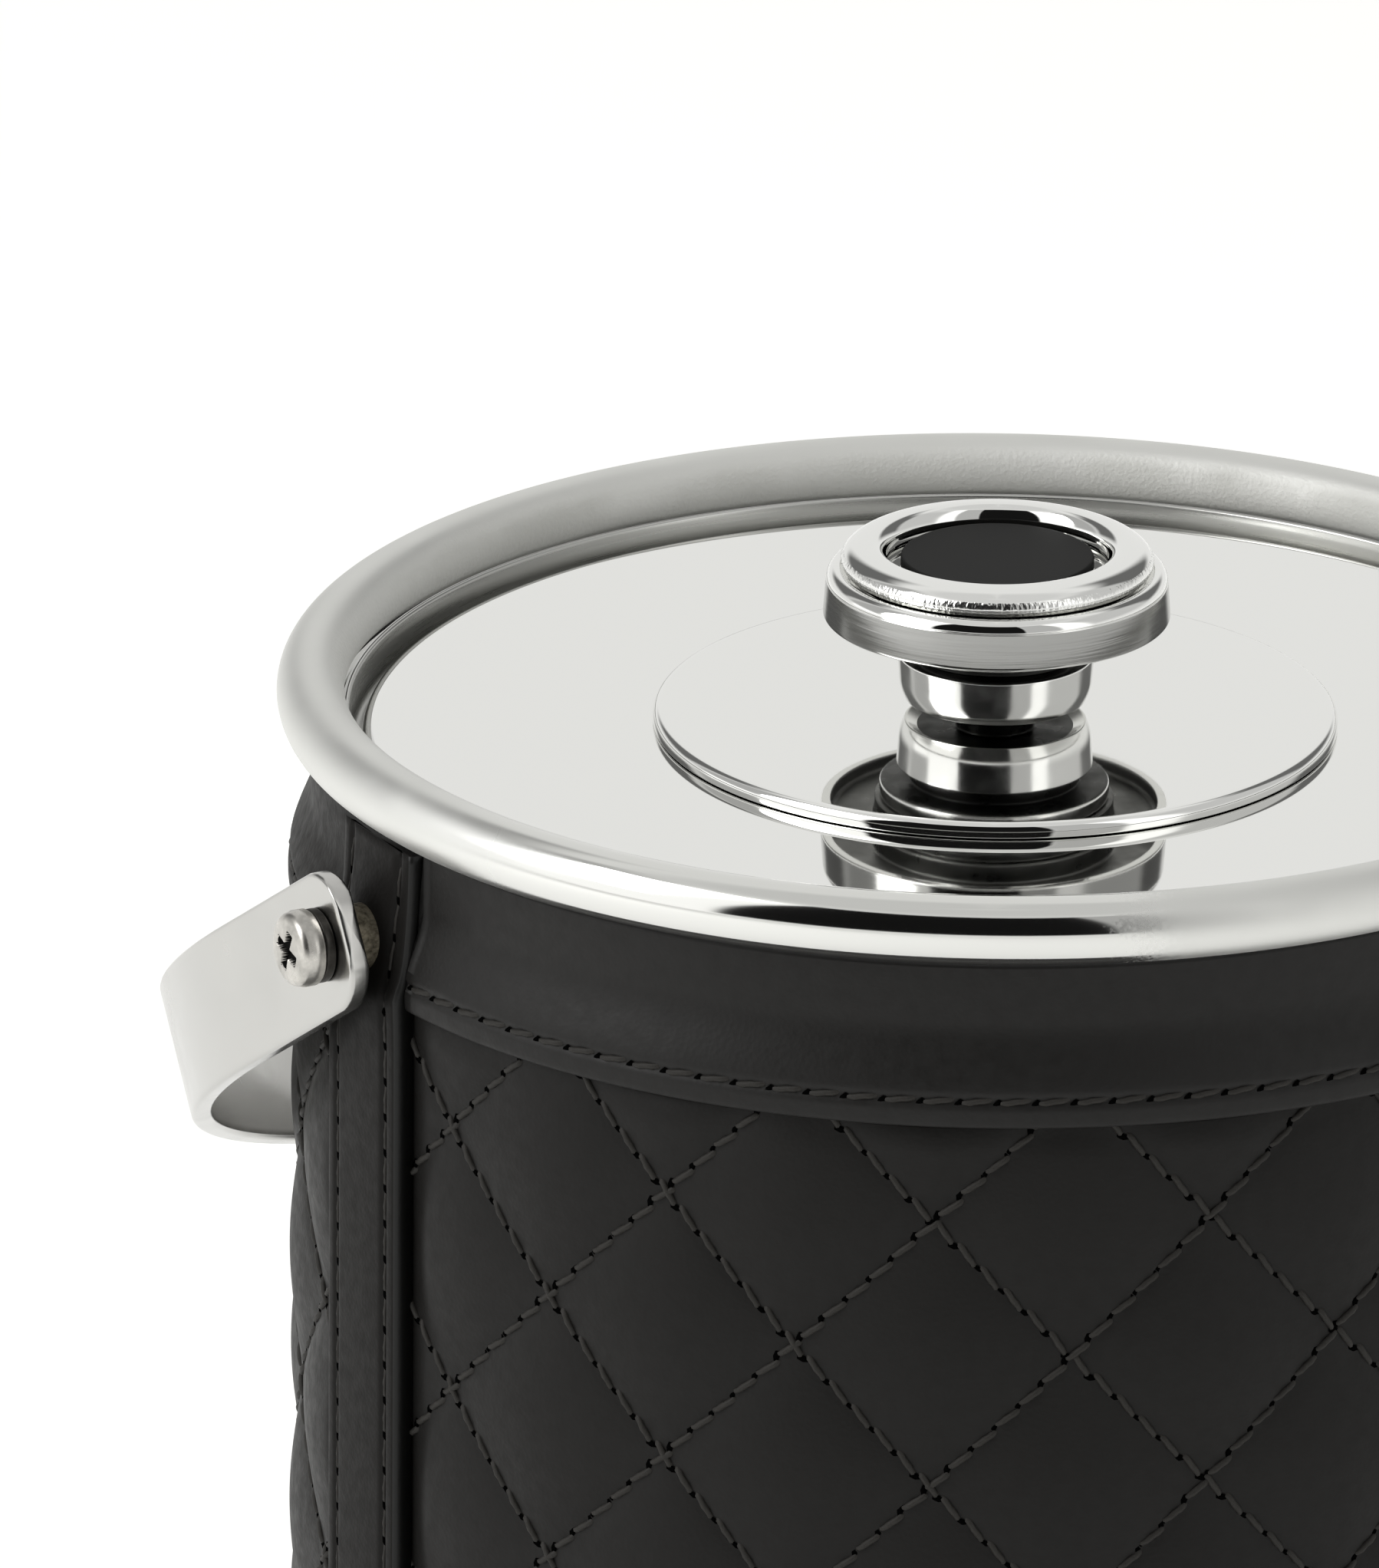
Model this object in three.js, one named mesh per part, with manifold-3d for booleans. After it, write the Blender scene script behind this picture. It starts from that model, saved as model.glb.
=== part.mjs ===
// Insulated ice bucket with quilted leather sides, a bright rim, a lift-off lid and a swinging strap handle.
// Millimetres, +Z up. The origin is the centre of the foot, and the handle's pivots lie along X.
import * as THREE from "three";
import { mergeVertices } from "three/addons/utils/BufferGeometryUtils.js";
import Module from "manifold-3d";

// Driving dimensions
const RIM_TOP = 160;
const RIM_TUBE = 3.65;
const RIM_R = 73.75;
const RIM_Z = RIM_TOP - RIM_TUBE;
const CONTACT = 0.1;
const CLEARANCE = 0.3;

const PAD_R = 66;
const PAD_HEIGHT = 2;
const SHELL_R = 72;
const SHELL_WALL = 1;
const SHELL_TOP = RIM_Z - 3.55;
const LINER_R = 65.5;
const LINER_WALL = 0.9;
const LINER_FLOOR = 12;
const LINER_CORNER = 5;
const LEDGE_TOP = RIM_Z - 6.55;
const LEDGE_R = 69.6;
const LINER_TOP = RIM_Z - 2.05;

const LEATHER_INNER = SHELL_R + CLEARANCE;
const QUILT_R = 75.2;
const TONGUE_R = 73.4;
const TONGUE = 4.9;
const TOP_BAND_EDGE = RIM_Z - 21.35;
const BOTTOM_BAND_EDGE = 23.2;
const BAND_R = 76.2;
const BAND_NECK_R = 73.8;
const BAND_TOP = RIM_Z - 4.15;
const BAND_FOOT = 3.6;
const STRAP_R = 77.2;
const STRAP_THICKNESS = 1.6;
const STRAP_WIDTH = 15.5;

const PIVOT_Z = RIM_Z - 15.35;
const REST_DROP = THREE.MathUtils.degToRad(31.8);
const BAIL_INNER_R = 79.45;
const BAIL_THICKNESS = 2.25;
const BAIL_WIDTH = 15.2;
const BAIL_LEG = 23.35;
const BAIL_END = 6;
const BAIL_CORNER = 5.4;
const SCREW_R = 2;
const SCREW_HOLE_R = 2.3;
const SCREW_HEAD_R = 4;
const SCREW_HEAD = 2.9;
const WASHER_THICKNESS = 1.1;
const SPACER_R = 3.7;
const NUT_FLATS = 7;
const NUT_HEIGHT = 3.2;

const LID_R = 68.2;
const LID_TOP = RIM_Z - 3.65;
const LID_SHEET = 1;
const PAN_R = 64.8;
const PAN_WALL = 0.8;
const PAN_FLOOR = LID_TOP - 9.7;
const PLATE_R = 36.9;
const PLATE_TOP = LID_TOP + 1.75;
const KNOB_SCREW_R = 2.5;
const KNOB_HOLE_R = 2.8;
const POST_R = 4.2;
const FLANGE_TOP = RIM_Z + 8;
const HEAD_R = 18.7;
const HEAD_TOP = RIM_Z + 14.1;
const SHOULDER_R = 16.95;
const RING_CREST_R = 13.5;
const RING_OUT_R = 16.85;
const RING_IN_R = 11.95;
const RING_CREST = 1.9;
const INSET_R = 10.4;

const ROUND = 48;
const SMALL_ROUND = 24;

// Finishes
const leather = { color: 0x3a3937, roughness: 0.55, metalness: 0 };
const strapLeather = { color: 0x333230, roughness: 0.5, metalness: 0 };
const mirrorSteel = { color: 0xe4e4e2, roughness: 0.06, metalness: 1 };
const satinSteel = { color: 0xc9c8c4, roughness: 0.28, metalness: 1 };
const brushedSteel = { color: 0xb9b9b6, roughness: 0.35, metalness: 1 };
const nickel = { color: 0xa39b8d, roughness: 0.4, metalness: 1 };
const blackPlastic = { color: 0x1b1b1b, roughness: 0.5, metalness: 0 };
const foam = { color: 0xefe6c8, roughness: 0.9, metalness: 0 };
const felt = { color: 0x1e1e1e, roughness: 0.95, metalness: 0 };

const wasm = await Module();
wasm.setup();

// Solids: three.js geometry in and out of manifold-3d
function solid(geometry) {
  const plain = geometry.clone();
  plain.deleteAttribute("normal");
  plain.deleteAttribute("uv");
  const merged = mergeVertices(plain, 1e-4);
  return new wasm.Manifold(
    new wasm.Mesh({
      numProp: 3,
      vertProperties: new Float32Array(merged.attributes.position.array),
      triVerts: new Uint32Array(merged.index.array),
    }),
  );
}

function add(parent, name, body, finish) {
  const mesh = body.getMesh();
  const geometry = new THREE.BufferGeometry();
  geometry.setAttribute("position", new THREE.BufferAttribute(mesh.vertProperties, 3));
  geometry.setIndex(new THREE.BufferAttribute(mesh.triVerts, 1));
  geometry.computeVertexNormals();
  const made = new THREE.Mesh(geometry, new THREE.MeshStandardMaterial(finish));
  made.name = name;
  parent.add(made);
}

// Turns an outline of [radius, height] points about Z. It runs up the outside and down the inside.
function revolve(outline, segments = ROUND) {
  const points = outline.map(([r, z]) => new THREE.Vector2(r, z));
  if (outline[0][0] > 0) {
    points.push(points[0].clone());
  }
  const geometry = new THREE.LatheGeometry(points, segments);
  geometry.rotateX(Math.PI / 2);
  return solid(geometry);
}

// The same about X, for what lies along the handle's pivot.
function revolveAlongX(outline, segments = SMALL_ROUND) {
  return revolve(outline, segments).rotate([0, 90, 0]);
}

function box(width, depth, height, x = 0, y = 0, z = 0) {
  const geometry = new THREE.BoxGeometry(width, depth, height);
  geometry.translate(x, y, z);
  return solid(geometry);
}

function rodAlongX(radius, length, x, z, segments = SMALL_ROUND) {
  const geometry = new THREE.CylinderGeometry(radius, radius, length, segments);
  geometry.rotateZ(Math.PI / 2);
  geometry.translate(x, 0, z);
  return solid(geometry);
}

function arc(r0, z0, radius, from, to, steps) {
  return Array.from({ length: steps + 1 }, (_, i) => {
    const a = THREE.MathUtils.degToRad(from + ((to - from) * i) / steps);
    return [r0 + radius * Math.cos(a), z0 + radius * Math.sin(a)];
  });
}

// The bucket's two cans, with foam between them
function addCans(parent) {
  const shellFloor = PAD_HEIGHT + CONTACT;
  const foamFloor = shellFloor + SHELL_WALL + CLEARANCE;
  const foamR = SHELL_R - SHELL_WALL - CLEARANCE;
  const linerOuter = LINER_R + LINER_WALL;
  const ledgeOuter = LEDGE_R + 0.8;
  const ledgeUnder = LEDGE_TOP - LINER_WALL;
  const cornerFloor = LINER_FLOOR + LINER_CORNER;

  add(parent, "base_pad", revolve([[0, 0], [PAD_R, 0], [PAD_R, PAD_HEIGHT], [0, PAD_HEIGHT]]), felt);

  const shell = revolve([
    [0, shellFloor],
    [SHELL_R, shellFloor],
    [SHELL_R, SHELL_TOP],
    [SHELL_R - SHELL_WALL, SHELL_TOP],
    [SHELL_R - SHELL_WALL, shellFloor + SHELL_WALL],
    [0, shellFloor + SHELL_WALL],
  ]);
  add(parent, "outer_shell", shell.subtract(rodAlongX(SCREW_HOLE_R, 4 * SHELL_R, 0, PIVOT_Z)), brushedSteel);

  const foamTop = LINER_FLOOR - CLEARANCE;
  add(parent, "insulation_base", revolve([[0, foamFloor], [foamR, foamFloor], [foamR, foamTop], [0, foamTop]]), foam);

  const sleeveInner = linerOuter + CLEARANCE;
  const sleeveTop = ledgeUnder - CLEARANCE;
  const sleeve = revolve([
    [sleeveInner, LINER_FLOOR],
    [foamR, LINER_FLOOR],
    [foamR, sleeveTop],
    [sleeveInner, sleeveTop],
  ]);
  add(parent, "insulation_sleeve", sleeve.subtract(rodAlongX(4.6, 4 * SHELL_R, 0, PIVOT_Z)), foam);

  const liner = revolve([
    [0, LINER_FLOOR],
    [linerOuter - LINER_CORNER, LINER_FLOOR],
    [linerOuter, cornerFloor],
    [linerOuter, ledgeUnder],
    [ledgeOuter, ledgeUnder],
    [ledgeOuter, LINER_TOP],
    [LEDGE_R, LINER_TOP],
    [LEDGE_R, LEDGE_TOP],
    [LINER_R, LEDGE_TOP],
    [LINER_R, cornerFloor + 0.4],
    [LINER_R - LINER_CORNER + 0.4, LINER_FLOOR + LINER_WALL],
    [0, LINER_FLOOR + LINER_WALL],
  ]);
  add(parent, "inner_liner", liner, brushedSteel);

  const ring = new THREE.TorusGeometry(RIM_R, RIM_TUBE, 12, ROUND);
  ring.translate(0, 0, RIM_Z);
  add(parent, "rim_ring", solid(ring), mirrorSteel);
}

// The leather skins: front and back halves that meet under a strap on each side
function bandOutline(edge, end, up) {
  const steps = [
    [BAND_R, edge],
    [BAND_R, edge + up * 3],
    [75, edge + up * 4.4],
    [74.3, edge + up * 6.8],
    [BAND_NECK_R, edge + up * 10.4],
    [BAND_NECK_R, end],
    [LEATHER_INNER, end],
    [LEATHER_INNER, edge + up * 5.6],
    [TONGUE_R + CLEARANCE, edge + up * 5.2],
    [TONGUE_R + CLEARANCE, edge],
  ];
  return up > 0 ? steps : steps.reverse();
}

function addLeather(parent) {
  const quilt = revolve([
    [LEATHER_INNER, BOTTOM_BAND_EDGE - TONGUE],
    [TONGUE_R, BOTTOM_BAND_EDGE - TONGUE],
    [TONGUE_R, BOTTOM_BAND_EDGE + CLEARANCE],
    [QUILT_R, BOTTOM_BAND_EDGE + CLEARANCE],
    [QUILT_R, TOP_BAND_EDGE - CLEARANCE],
    [TONGUE_R, TOP_BAND_EDGE - CLEARANCE],
    [TONGUE_R, TOP_BAND_EDGE + TONGUE],
    [LEATHER_INNER, TOP_BAND_EDGE + TONGUE],
  ]);
  const topBand = revolve(bandOutline(TOP_BAND_EDGE, BAND_TOP, 1));
  const bottomBand = revolve(bandOutline(BOTTOM_BAND_EDGE, BAND_FOOT, -1));
  const spacerHole = rodAlongX(SPACER_R + CLEARANCE, 4 * SHELL_R, 0, PIVOT_Z);
  const reach = 4 * SHELL_R;

  for (const [half, side] of [["front", -1], ["back", 1]]) {
    const beyond = (gap) => box(reach, reach, reach, 0, side * (reach / 2 + gap), RIM_Z / 2);
    const seam = beyond(CLEARANCE / 2);
    const strapEdge = beyond(STRAP_WIDTH / 2 + CLEARANCE);
    add(parent, "quilt_panel_" + half, quilt.intersect(seam).subtract(spacerHole), leather);
    add(parent, "top_band_" + half, topBand.intersect(strapEdge), strapLeather);
    add(parent, "bottom_band_" + half, bottomBand.intersect(strapEdge), strapLeather);
  }

  const neck = BAND_NECK_R + STRAP_THICKNESS;
  const strapOuter = [
    [neck, BAND_FOOT],
    [neck, BOTTOM_BAND_EDGE - 10.4],
    [76.4, BOTTOM_BAND_EDGE - 4.4],
    [STRAP_R, BOTTOM_BAND_EDGE - 2.4],
    [STRAP_R, TOP_BAND_EDGE + 2.4],
    [76.4, TOP_BAND_EDGE + 4.4],
    [neck, TOP_BAND_EDGE + 10.4],
    [neck, BAND_TOP],
  ];
  const strapInner = strapOuter.map(([r, z]) => [r - STRAP_THICKNESS, z]).reverse();
  const strapRing = revolve(strapOuter.concat(strapInner)).subtract(spacerHole);
  for (const [name, side] of [["left", -1], ["right", 1]]) {
    const slice = box(SHELL_R, STRAP_WIDTH, 2 * RIM_TOP, side * SHELL_R, 0, RIM_Z / 2);
    add(parent, "side_strap_" + name, strapRing.intersect(slice), strapLeather);
  }
}

// One side's handle fastening, lying along +X from the shell out to the screw head
function addPivot(parent, name) {
  const spacerEnd = BAIL_INNER_R - CONTACT;
  const washerIn = BAIL_INNER_R + BAIL_THICKNESS + CONTACT;
  const washerOut = washerIn + WASHER_THICKNESS;
  const headIn = washerOut + CONTACT;
  const headOut = headIn + SCREW_HEAD;
  const nutOut = SHELL_R - SHELL_WALL - 0.4;
  const nutIn = nutOut - NUT_HEIGHT;
  const tip = nutIn - 0.4;

  const spacer = revolveAlongX([
    [SCREW_R + 0.2, LEATHER_INNER],
    [SPACER_R, LEATHER_INNER],
    [SPACER_R, spacerEnd],
    [SCREW_R + 0.2, spacerEnd],
  ]);
  add(parent, "spacer_" + name, spacer, nickel);

  const washer = revolveAlongX([
    [SCREW_HOLE_R, washerIn],
    [SCREW_HEAD_R, washerIn],
    [SCREW_HEAD_R, washerOut],
    [SCREW_HOLE_R, washerOut],
  ]);
  add(parent, "handle_washer_" + name, washer, nickel);

  const screw = revolveAlongX([
    [0, tip],
    [SCREW_R - 0.4, tip],
    [SCREW_R, tip + 0.4],
    [SCREW_R, headIn],
    [SCREW_HEAD_R, headIn],
    [SCREW_HEAD_R, headIn + 1.5],
    [3.4, headOut - 0.5],
    [2.3, headOut - 0.1],
    [0, headOut],
  ]);
  const slot = box(2.8, 4, 0.9, headOut);
  const crossSlot = box(2.8, 0.9, 4, headOut);
  add(parent, "handle_screw_" + name, screw.subtract(slot.add(crossSlot)), nickel);

  const blank = rodAlongX(NUT_FLATS / 2 / Math.cos(Math.PI / 6), NUT_HEIGHT, (nutIn + nutOut) / 2, 0, 6);
  add(parent, "handle_nut_" + name, blank.subtract(rodAlongX(SCREW_R + 0.2, 20, nutIn, 0)), nickel);
}

// The strap handle: two legs joined by a half circle, in its own frame with Y from the pivots to the grip
function addHandle(parent) {
  const outerR = BAIL_INNER_R + BAIL_THICKNESS;
  const path = new THREE.Shape();
  path.moveTo(outerR, -BAIL_END);
  path.lineTo(outerR, BAIL_LEG);
  path.absarc(0, BAIL_LEG, outerR, 0, Math.PI, false);
  path.lineTo(-outerR, -BAIL_END);
  path.lineTo(-BAIL_INNER_R, -BAIL_END);
  path.lineTo(-BAIL_INNER_R, BAIL_LEG);
  path.absarc(0, BAIL_LEG, BAIL_INNER_R, Math.PI, 0, true);
  path.lineTo(BAIL_INNER_R, -BAIL_END);
  const strip = new THREE.ExtrudeGeometry(path, { depth: BAIL_WIDTH, bevelEnabled: false, curveSegments: 28 });
  strip.translate(0, 0, -BAIL_WIDTH / 2);

  // The rounded leg ends, cut by a plate that spans the whole width.
  const half = BAIL_WIDTH / 2;
  const far = BAIL_LEG + 2 * outerR;
  const ends = new THREE.Shape();
  ends.moveTo(-half, far);
  ends.lineTo(-half, BAIL_CORNER - BAIL_END);
  ends.absarc(BAIL_CORNER - half, BAIL_CORNER - BAIL_END, BAIL_CORNER, Math.PI, 1.5 * Math.PI, false);
  ends.absarc(half - BAIL_CORNER, BAIL_CORNER - BAIL_END, BAIL_CORNER, 1.5 * Math.PI, 2 * Math.PI, false);
  ends.lineTo(half, far);
  const plate = new THREE.ExtrudeGeometry(ends, { depth: 4 * outerR, bevelEnabled: false, curveSegments: 5 });
  plate.rotateY(Math.PI / 2);
  plate.translate(-2 * outerR, 0, 0);

  const bail = solid(strip).intersect(solid(plate)).subtract(rodAlongX(SCREW_HOLE_R, 4 * outerR, 0, 0));
  add(parent, "handle_strap", bail, satinSteel);
}

// The insulated lid
function addLid(parent) {
  const sheetUnder = LID_TOP - LID_SHEET;
  const skirtFoot = LEDGE_TOP + CONTACT;
  const top = revolve([
    [KNOB_HOLE_R, sheetUnder],
    [LID_R - 2, sheetUnder],
    [LID_R - 1, sheetUnder - 0.8],
    [LID_R - 1, skirtFoot],
    [LID_R, skirtFoot],
    ...arc(LID_R - 1.6, LID_TOP - 1.6, 1.6, 0, 90, 3),
    [KNOB_HOLE_R, LID_TOP],
  ]);
  add(parent, "lid_top", top, mirrorSteel);

  const panTop = sheetUnder - CLEARANCE;
  const pan = revolve([
    [0, PAN_FLOOR],
    [PAN_R - 2, PAN_FLOOR],
    [PAN_R, PAN_FLOOR + 2],
    [PAN_R, panTop],
    [PAN_R - PAN_WALL, panTop],
    [PAN_R - PAN_WALL, PAN_FLOOR + 2.3],
    [PAN_R - 2.3, PAN_FLOOR + PAN_WALL],
    [0, PAN_FLOOR + PAN_WALL],
  ]);
  add(parent, "lid_pan", pan, brushedSteel);

  const fillR = PAN_R - PAN_WALL - CLEARANCE;
  const fillFloor = PAN_FLOOR + PAN_WALL + CLEARANCE;
  const fill = revolve([
    [0, fillFloor],
    [fillR - 1.4, fillFloor],
    [fillR, fillFloor + 1.4],
    [fillR, panTop],
    [8, panTop],
    [8, PAN_FLOOR + 3.8],
    [0, PAN_FLOOR + 3.8],
  ]);
  add(parent, "lid_insulation", fill, foam);

  const plateFoot = LID_TOP + CONTACT;
  const plate = revolve([
    [KNOB_HOLE_R, plateFoot],
    [PLATE_R, plateFoot],
    ...arc(PLATE_R - 0.9, PLATE_TOP - 0.9, 0.9, 0, 90, 3),
    [KNOB_HOLE_R, PLATE_TOP],
  ]);
  add(parent, "lid_plate", plate, mirrorSteel);
}

// The knob, from the plate up, and the screw that holds it from inside the lid
function addKnob(parent) {
  const foot = PLATE_TOP + CONTACT;
  const lip = RIM_Z + 4.4;
  const collar = revolve([
    [KNOB_HOLE_R, foot],
    [POST_R, foot],
    [POST_R, foot + 2],
    [8.4, foot + 1.9],
    [9.8, foot + 1.2],
    [10.4, foot + 2.3],
    [10.6, foot + 3.9],
    [10.6, lip],
    [9.2, lip + 0.5],
    [9.2, FLANGE_TOP - 1.9],
    [12.4, FLANGE_TOP - 1.6],
    [12.4, FLANGE_TOP],
    [KNOB_HOLE_R, FLANGE_TOP],
  ], 32);
  add(parent, "knob_collar", collar, mirrorSteel);

  const headFoot = FLANGE_TOP + CONTACT;
  const screwHole = HEAD_TOP - 3.1;
  const head = revolve([
    [0, screwHole],
    [KNOB_HOLE_R, screwHole],
    [KNOB_HOLE_R, headFoot],
    [12.9, headFoot],
    [12.9, headFoot + 2.1],
    [17.6, headFoot + 2.1],
    [17.6, headFoot + 0.6],
    [HEAD_R, headFoot + 0.6],
    ...arc(SHOULDER_R, HEAD_TOP - 1.45, 1.45, 0, 90, 4),
    [0, HEAD_TOP],
  ], 32);
  add(parent, "knob_head", head, mirrorSteel);

  const seat = HEAD_TOP + CONTACT;
  const ringMid = seat + 0.65;
  const quarter = arc(0, 0, 1, 0, 90, 4);
  const ring = revolve([
    [RING_IN_R, seat],
    [RING_OUT_R, seat],
    ...quarter.map(([c, s]) => [RING_CREST_R + (RING_OUT_R - RING_CREST_R) * c, ringMid + RING_CREST * s]),
    ...quarter.slice(0, -1).reverse().map(([c, s]) => [RING_CREST_R - (RING_CREST_R - RING_IN_R) * c, ringMid + RING_CREST * s]),
  ], 32);
  add(parent, "knob_ring", ring, mirrorSteel);

  const insetTop = seat + 1.25;
  const inset = revolve([[0, seat], [INSET_R, seat], [INSET_R, insetTop - 0.3], [INSET_R - 0.3, insetTop], [0, insetTop]], 32);
  add(parent, "knob_inset", inset, blackPlastic);

  const washerTop = LID_TOP - LID_SHEET - CONTACT;
  const washerFoot = washerTop - 1;
  const washer = revolve([
    [KNOB_HOLE_R, washerFoot],
    [7, washerFoot],
    [7, washerTop],
    [KNOB_HOLE_R, washerTop],
  ], SMALL_ROUND);
  add(parent, "knob_washer", washer, nickel);

  const screwHead = washerFoot - CONTACT;
  const screw = revolve([
    [0, screwHead - 2.6],
    [3.6, screwHead - 2.6],
    [4.4, screwHead - 1.6],
    [4.4, screwHead],
    [KNOB_SCREW_R, screwHead],
    [KNOB_SCREW_R, screwHole - CLEARANCE],
    [0, screwHole - CLEARANCE],
  ], SMALL_ROUND);
  add(parent, "knob_screw", screw, nickel);
}

const bucket = new THREE.Group();
addCans(bucket);
addLeather(bucket);

for (const [name, turn] of [["left", Math.PI], ["right", 0]]) {
  const pivot = new THREE.Group();
  pivot.position.set(0, 0, PIVOT_Z);
  pivot.rotation.z = turn;
  addPivot(pivot, name);
  bucket.add(pivot);
}

const handle = new THREE.Group();
handle.position.set(0, 0, PIVOT_Z);
handle.rotation.x = -REST_DROP;
addHandle(handle);
bucket.add(handle);

const lid = new THREE.Group();
addLid(lid);
addKnob(lid);
bucket.add(lid);

export default bucket;
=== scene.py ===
"""Insulated ice bucket: quilted leather, a steel rim, a lift-off lid with a bowl-shaped knob, a strap handle.

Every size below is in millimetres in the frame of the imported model, +Z up, with the handle's pivots along X.
Shapes are numpy arrays, put into meshes in metres, and each piece rides on the body it belongs to.
"""

import bpy
import numpy as np
from bpy.props import FloatProperty, FloatVectorProperty, IntProperty, PointerProperty
from mathutils import Matrix, Vector


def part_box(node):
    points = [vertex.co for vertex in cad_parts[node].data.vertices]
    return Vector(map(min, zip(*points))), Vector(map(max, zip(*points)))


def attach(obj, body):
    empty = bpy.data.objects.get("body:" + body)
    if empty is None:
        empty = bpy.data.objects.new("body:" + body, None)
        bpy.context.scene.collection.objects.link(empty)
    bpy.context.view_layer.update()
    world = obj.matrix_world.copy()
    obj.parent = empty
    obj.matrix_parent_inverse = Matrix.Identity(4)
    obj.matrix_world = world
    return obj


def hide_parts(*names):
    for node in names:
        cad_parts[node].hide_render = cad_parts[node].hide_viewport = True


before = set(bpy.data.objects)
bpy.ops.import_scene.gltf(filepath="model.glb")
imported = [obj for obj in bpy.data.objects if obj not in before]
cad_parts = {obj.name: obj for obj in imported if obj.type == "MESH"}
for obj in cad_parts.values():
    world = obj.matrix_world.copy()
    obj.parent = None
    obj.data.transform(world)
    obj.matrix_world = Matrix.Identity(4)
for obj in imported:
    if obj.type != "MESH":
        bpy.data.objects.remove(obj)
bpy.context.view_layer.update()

bl_info = {
    "name": "Ice Bucket",
    "version": (1, 0, 0),
    "blender": (4, 5, 0),
    "location": "3D View > Sidebar > Ice Bucket",
    "description": "Builds a quilted leather ice bucket round its packed frame",
    "category": "Add Mesh",
}

MM = 0.001


def box_mm(node):
    """Lowest and highest corner of a CAD node, in millimetres."""
    low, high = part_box(node)
    return np.array(low) / MM, np.array(high) / MM


# Heights and radii that the pieces share, read from the frame
RIM_LOW, RIM_HIGH = box_mm("rim_ring")
RIM_TUBE = (RIM_HIGH[2] - RIM_LOW[2]) / 2
RIM_Z = RIM_HIGH[2] - RIM_TUBE
RIM_R = RIM_HIGH[0] - RIM_TUBE
TOP_BAND_LOW, TOP_BAND_HIGH = box_mm("top_band_front")
FOOT_BAND_LOW, FOOT_BAND_HIGH = box_mm("bottom_band_front")
STRAP_LOW, STRAP_HIGH = box_mm("side_strap_right")
SCREW_LOW, SCREW_HIGH = box_mm("handle_screw_right")
PIVOT = np.array([0.0, 0.0, (SCREW_LOW[2] + SCREW_HIGH[2]) / 2])
BAIL_OUTER = box_mm("handle_strap")[1][0]
LID_LOW, LID_HIGH = box_mm("lid_top")
PLATE_LOW, PLATE_HIGH = box_mm("lid_plate")
HEAD_HIGH = box_mm("knob_head")[1]
RING_LOW, RING_HIGH = box_mm("knob_ring")

LEFT_RIGHT = (("left", -1.0), ("right", 1.0))
FRONT_BACK = ("front", "back")


# ---------------------------------------------------------------- colour and nodes


def linear(hex_colour):
    """An sRGB hex colour as the linear RGBA that sockets and colour properties take."""
    srgb = np.array([int(hex_colour[i : i + 2], 16) for i in (1, 3, 5)]) / 255
    rgb = np.where(srgb <= 0.04045, srgb / 12.92, ((srgb + 0.055) / 1.055) ** 2.4)
    return (*map(float, rgb), 1.0)


def add_node(tree, kind, inputs=None, **settings):
    """Adds a node. inputs maps a socket's name or number to a value, or to the output that feeds it."""
    made = tree.nodes.new(kind)
    for key, value in settings.items():
        setattr(made, key, value)
    for key, value in (inputs or {}).items():
        if isinstance(value, bpy.types.NodeSocket):
            tree.links.new(value, made.inputs[key])
        else:
            made.inputs[key].default_value = value
    return made


def new_material(name, colour=None, **surface):
    """A material with one Principled BSDF. Returns it, its tree, the shader and the Object coordinates."""
    material = bpy.data.materials.new(name)
    material.use_nodes = True
    tree = material.node_tree
    shader = tree.nodes["Principled BSDF"]
    if colour is not None:
        shader.inputs["Base Color"].default_value = colour
    for key, value in surface.items():
        shader.inputs[key.replace("_", " ")].default_value = value
    place = add_node(tree, "ShaderNodeTexCoord").outputs["Object"]
    return material, tree, shader, place


def noise(tree, place, size_mm, detail=3.0, roughness=0.5, stretch=(1, 1, 1)):
    """Noise whose features are about size_mm across, stretched by dividing each axis. Returns its factor."""
    spread = add_node(tree, "ShaderNodeMapping", {"Vector": place, "Scale": tuple(1 / s for s in stretch)})
    return add_node(tree, "ShaderNodeTexNoise", {
        "Vector": spread.outputs[0], "Scale": 1 / (size_mm * MM), "Detail": detail, "Roughness": roughness,
    }).outputs[0]


def spread_between(tree, factor, low, high, from_low=0.3, from_high=0.7):
    """Maps a factor from its usual span to low..high, for roughness and masks."""
    inputs = {0: factor, 1: from_low, 2: from_high, 3: low, 4: high}
    return add_node(tree, "ShaderNodeMapRange", inputs).outputs[0]


def calculate(tree, operation, *values):
    """A Math node over up to three values or outputs. Returns its result."""
    return add_node(tree, "ShaderNodeMath", dict(enumerate(values)), operation=operation).outputs[0]


def tint(tree, shader, factor, first, second):
    """Base colour that goes from first to second with a factor."""
    tone = add_node(tree, "ShaderNodeMix", {0: factor, 6: first, 7: second}, data_type="RGBA")
    tree.links.new(tone.outputs[2], shader.inputs["Base Color"])


def scaled(colour, share):
    """A colour made darker or brighter by a factor."""
    return tuple(c * share for c in colour[:3]) + (1,)


def raise_bumps(tree, shader, height, depth_mm, strength=1.0, under=None):
    """Bump of a real depth, on top of another bump if one is given. Returns the normal."""
    inputs = {"Height": height, "Distance": depth_mm * MM, "Strength": strength}
    if under is not None:
        inputs["Normal"] = under
    normal = add_node(tree, "ShaderNodeBump", inputs).outputs[0]
    tree.links.new(normal, shader.inputs["Normal"])
    return normal


# ---------------------------------------------------------------- materials


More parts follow.
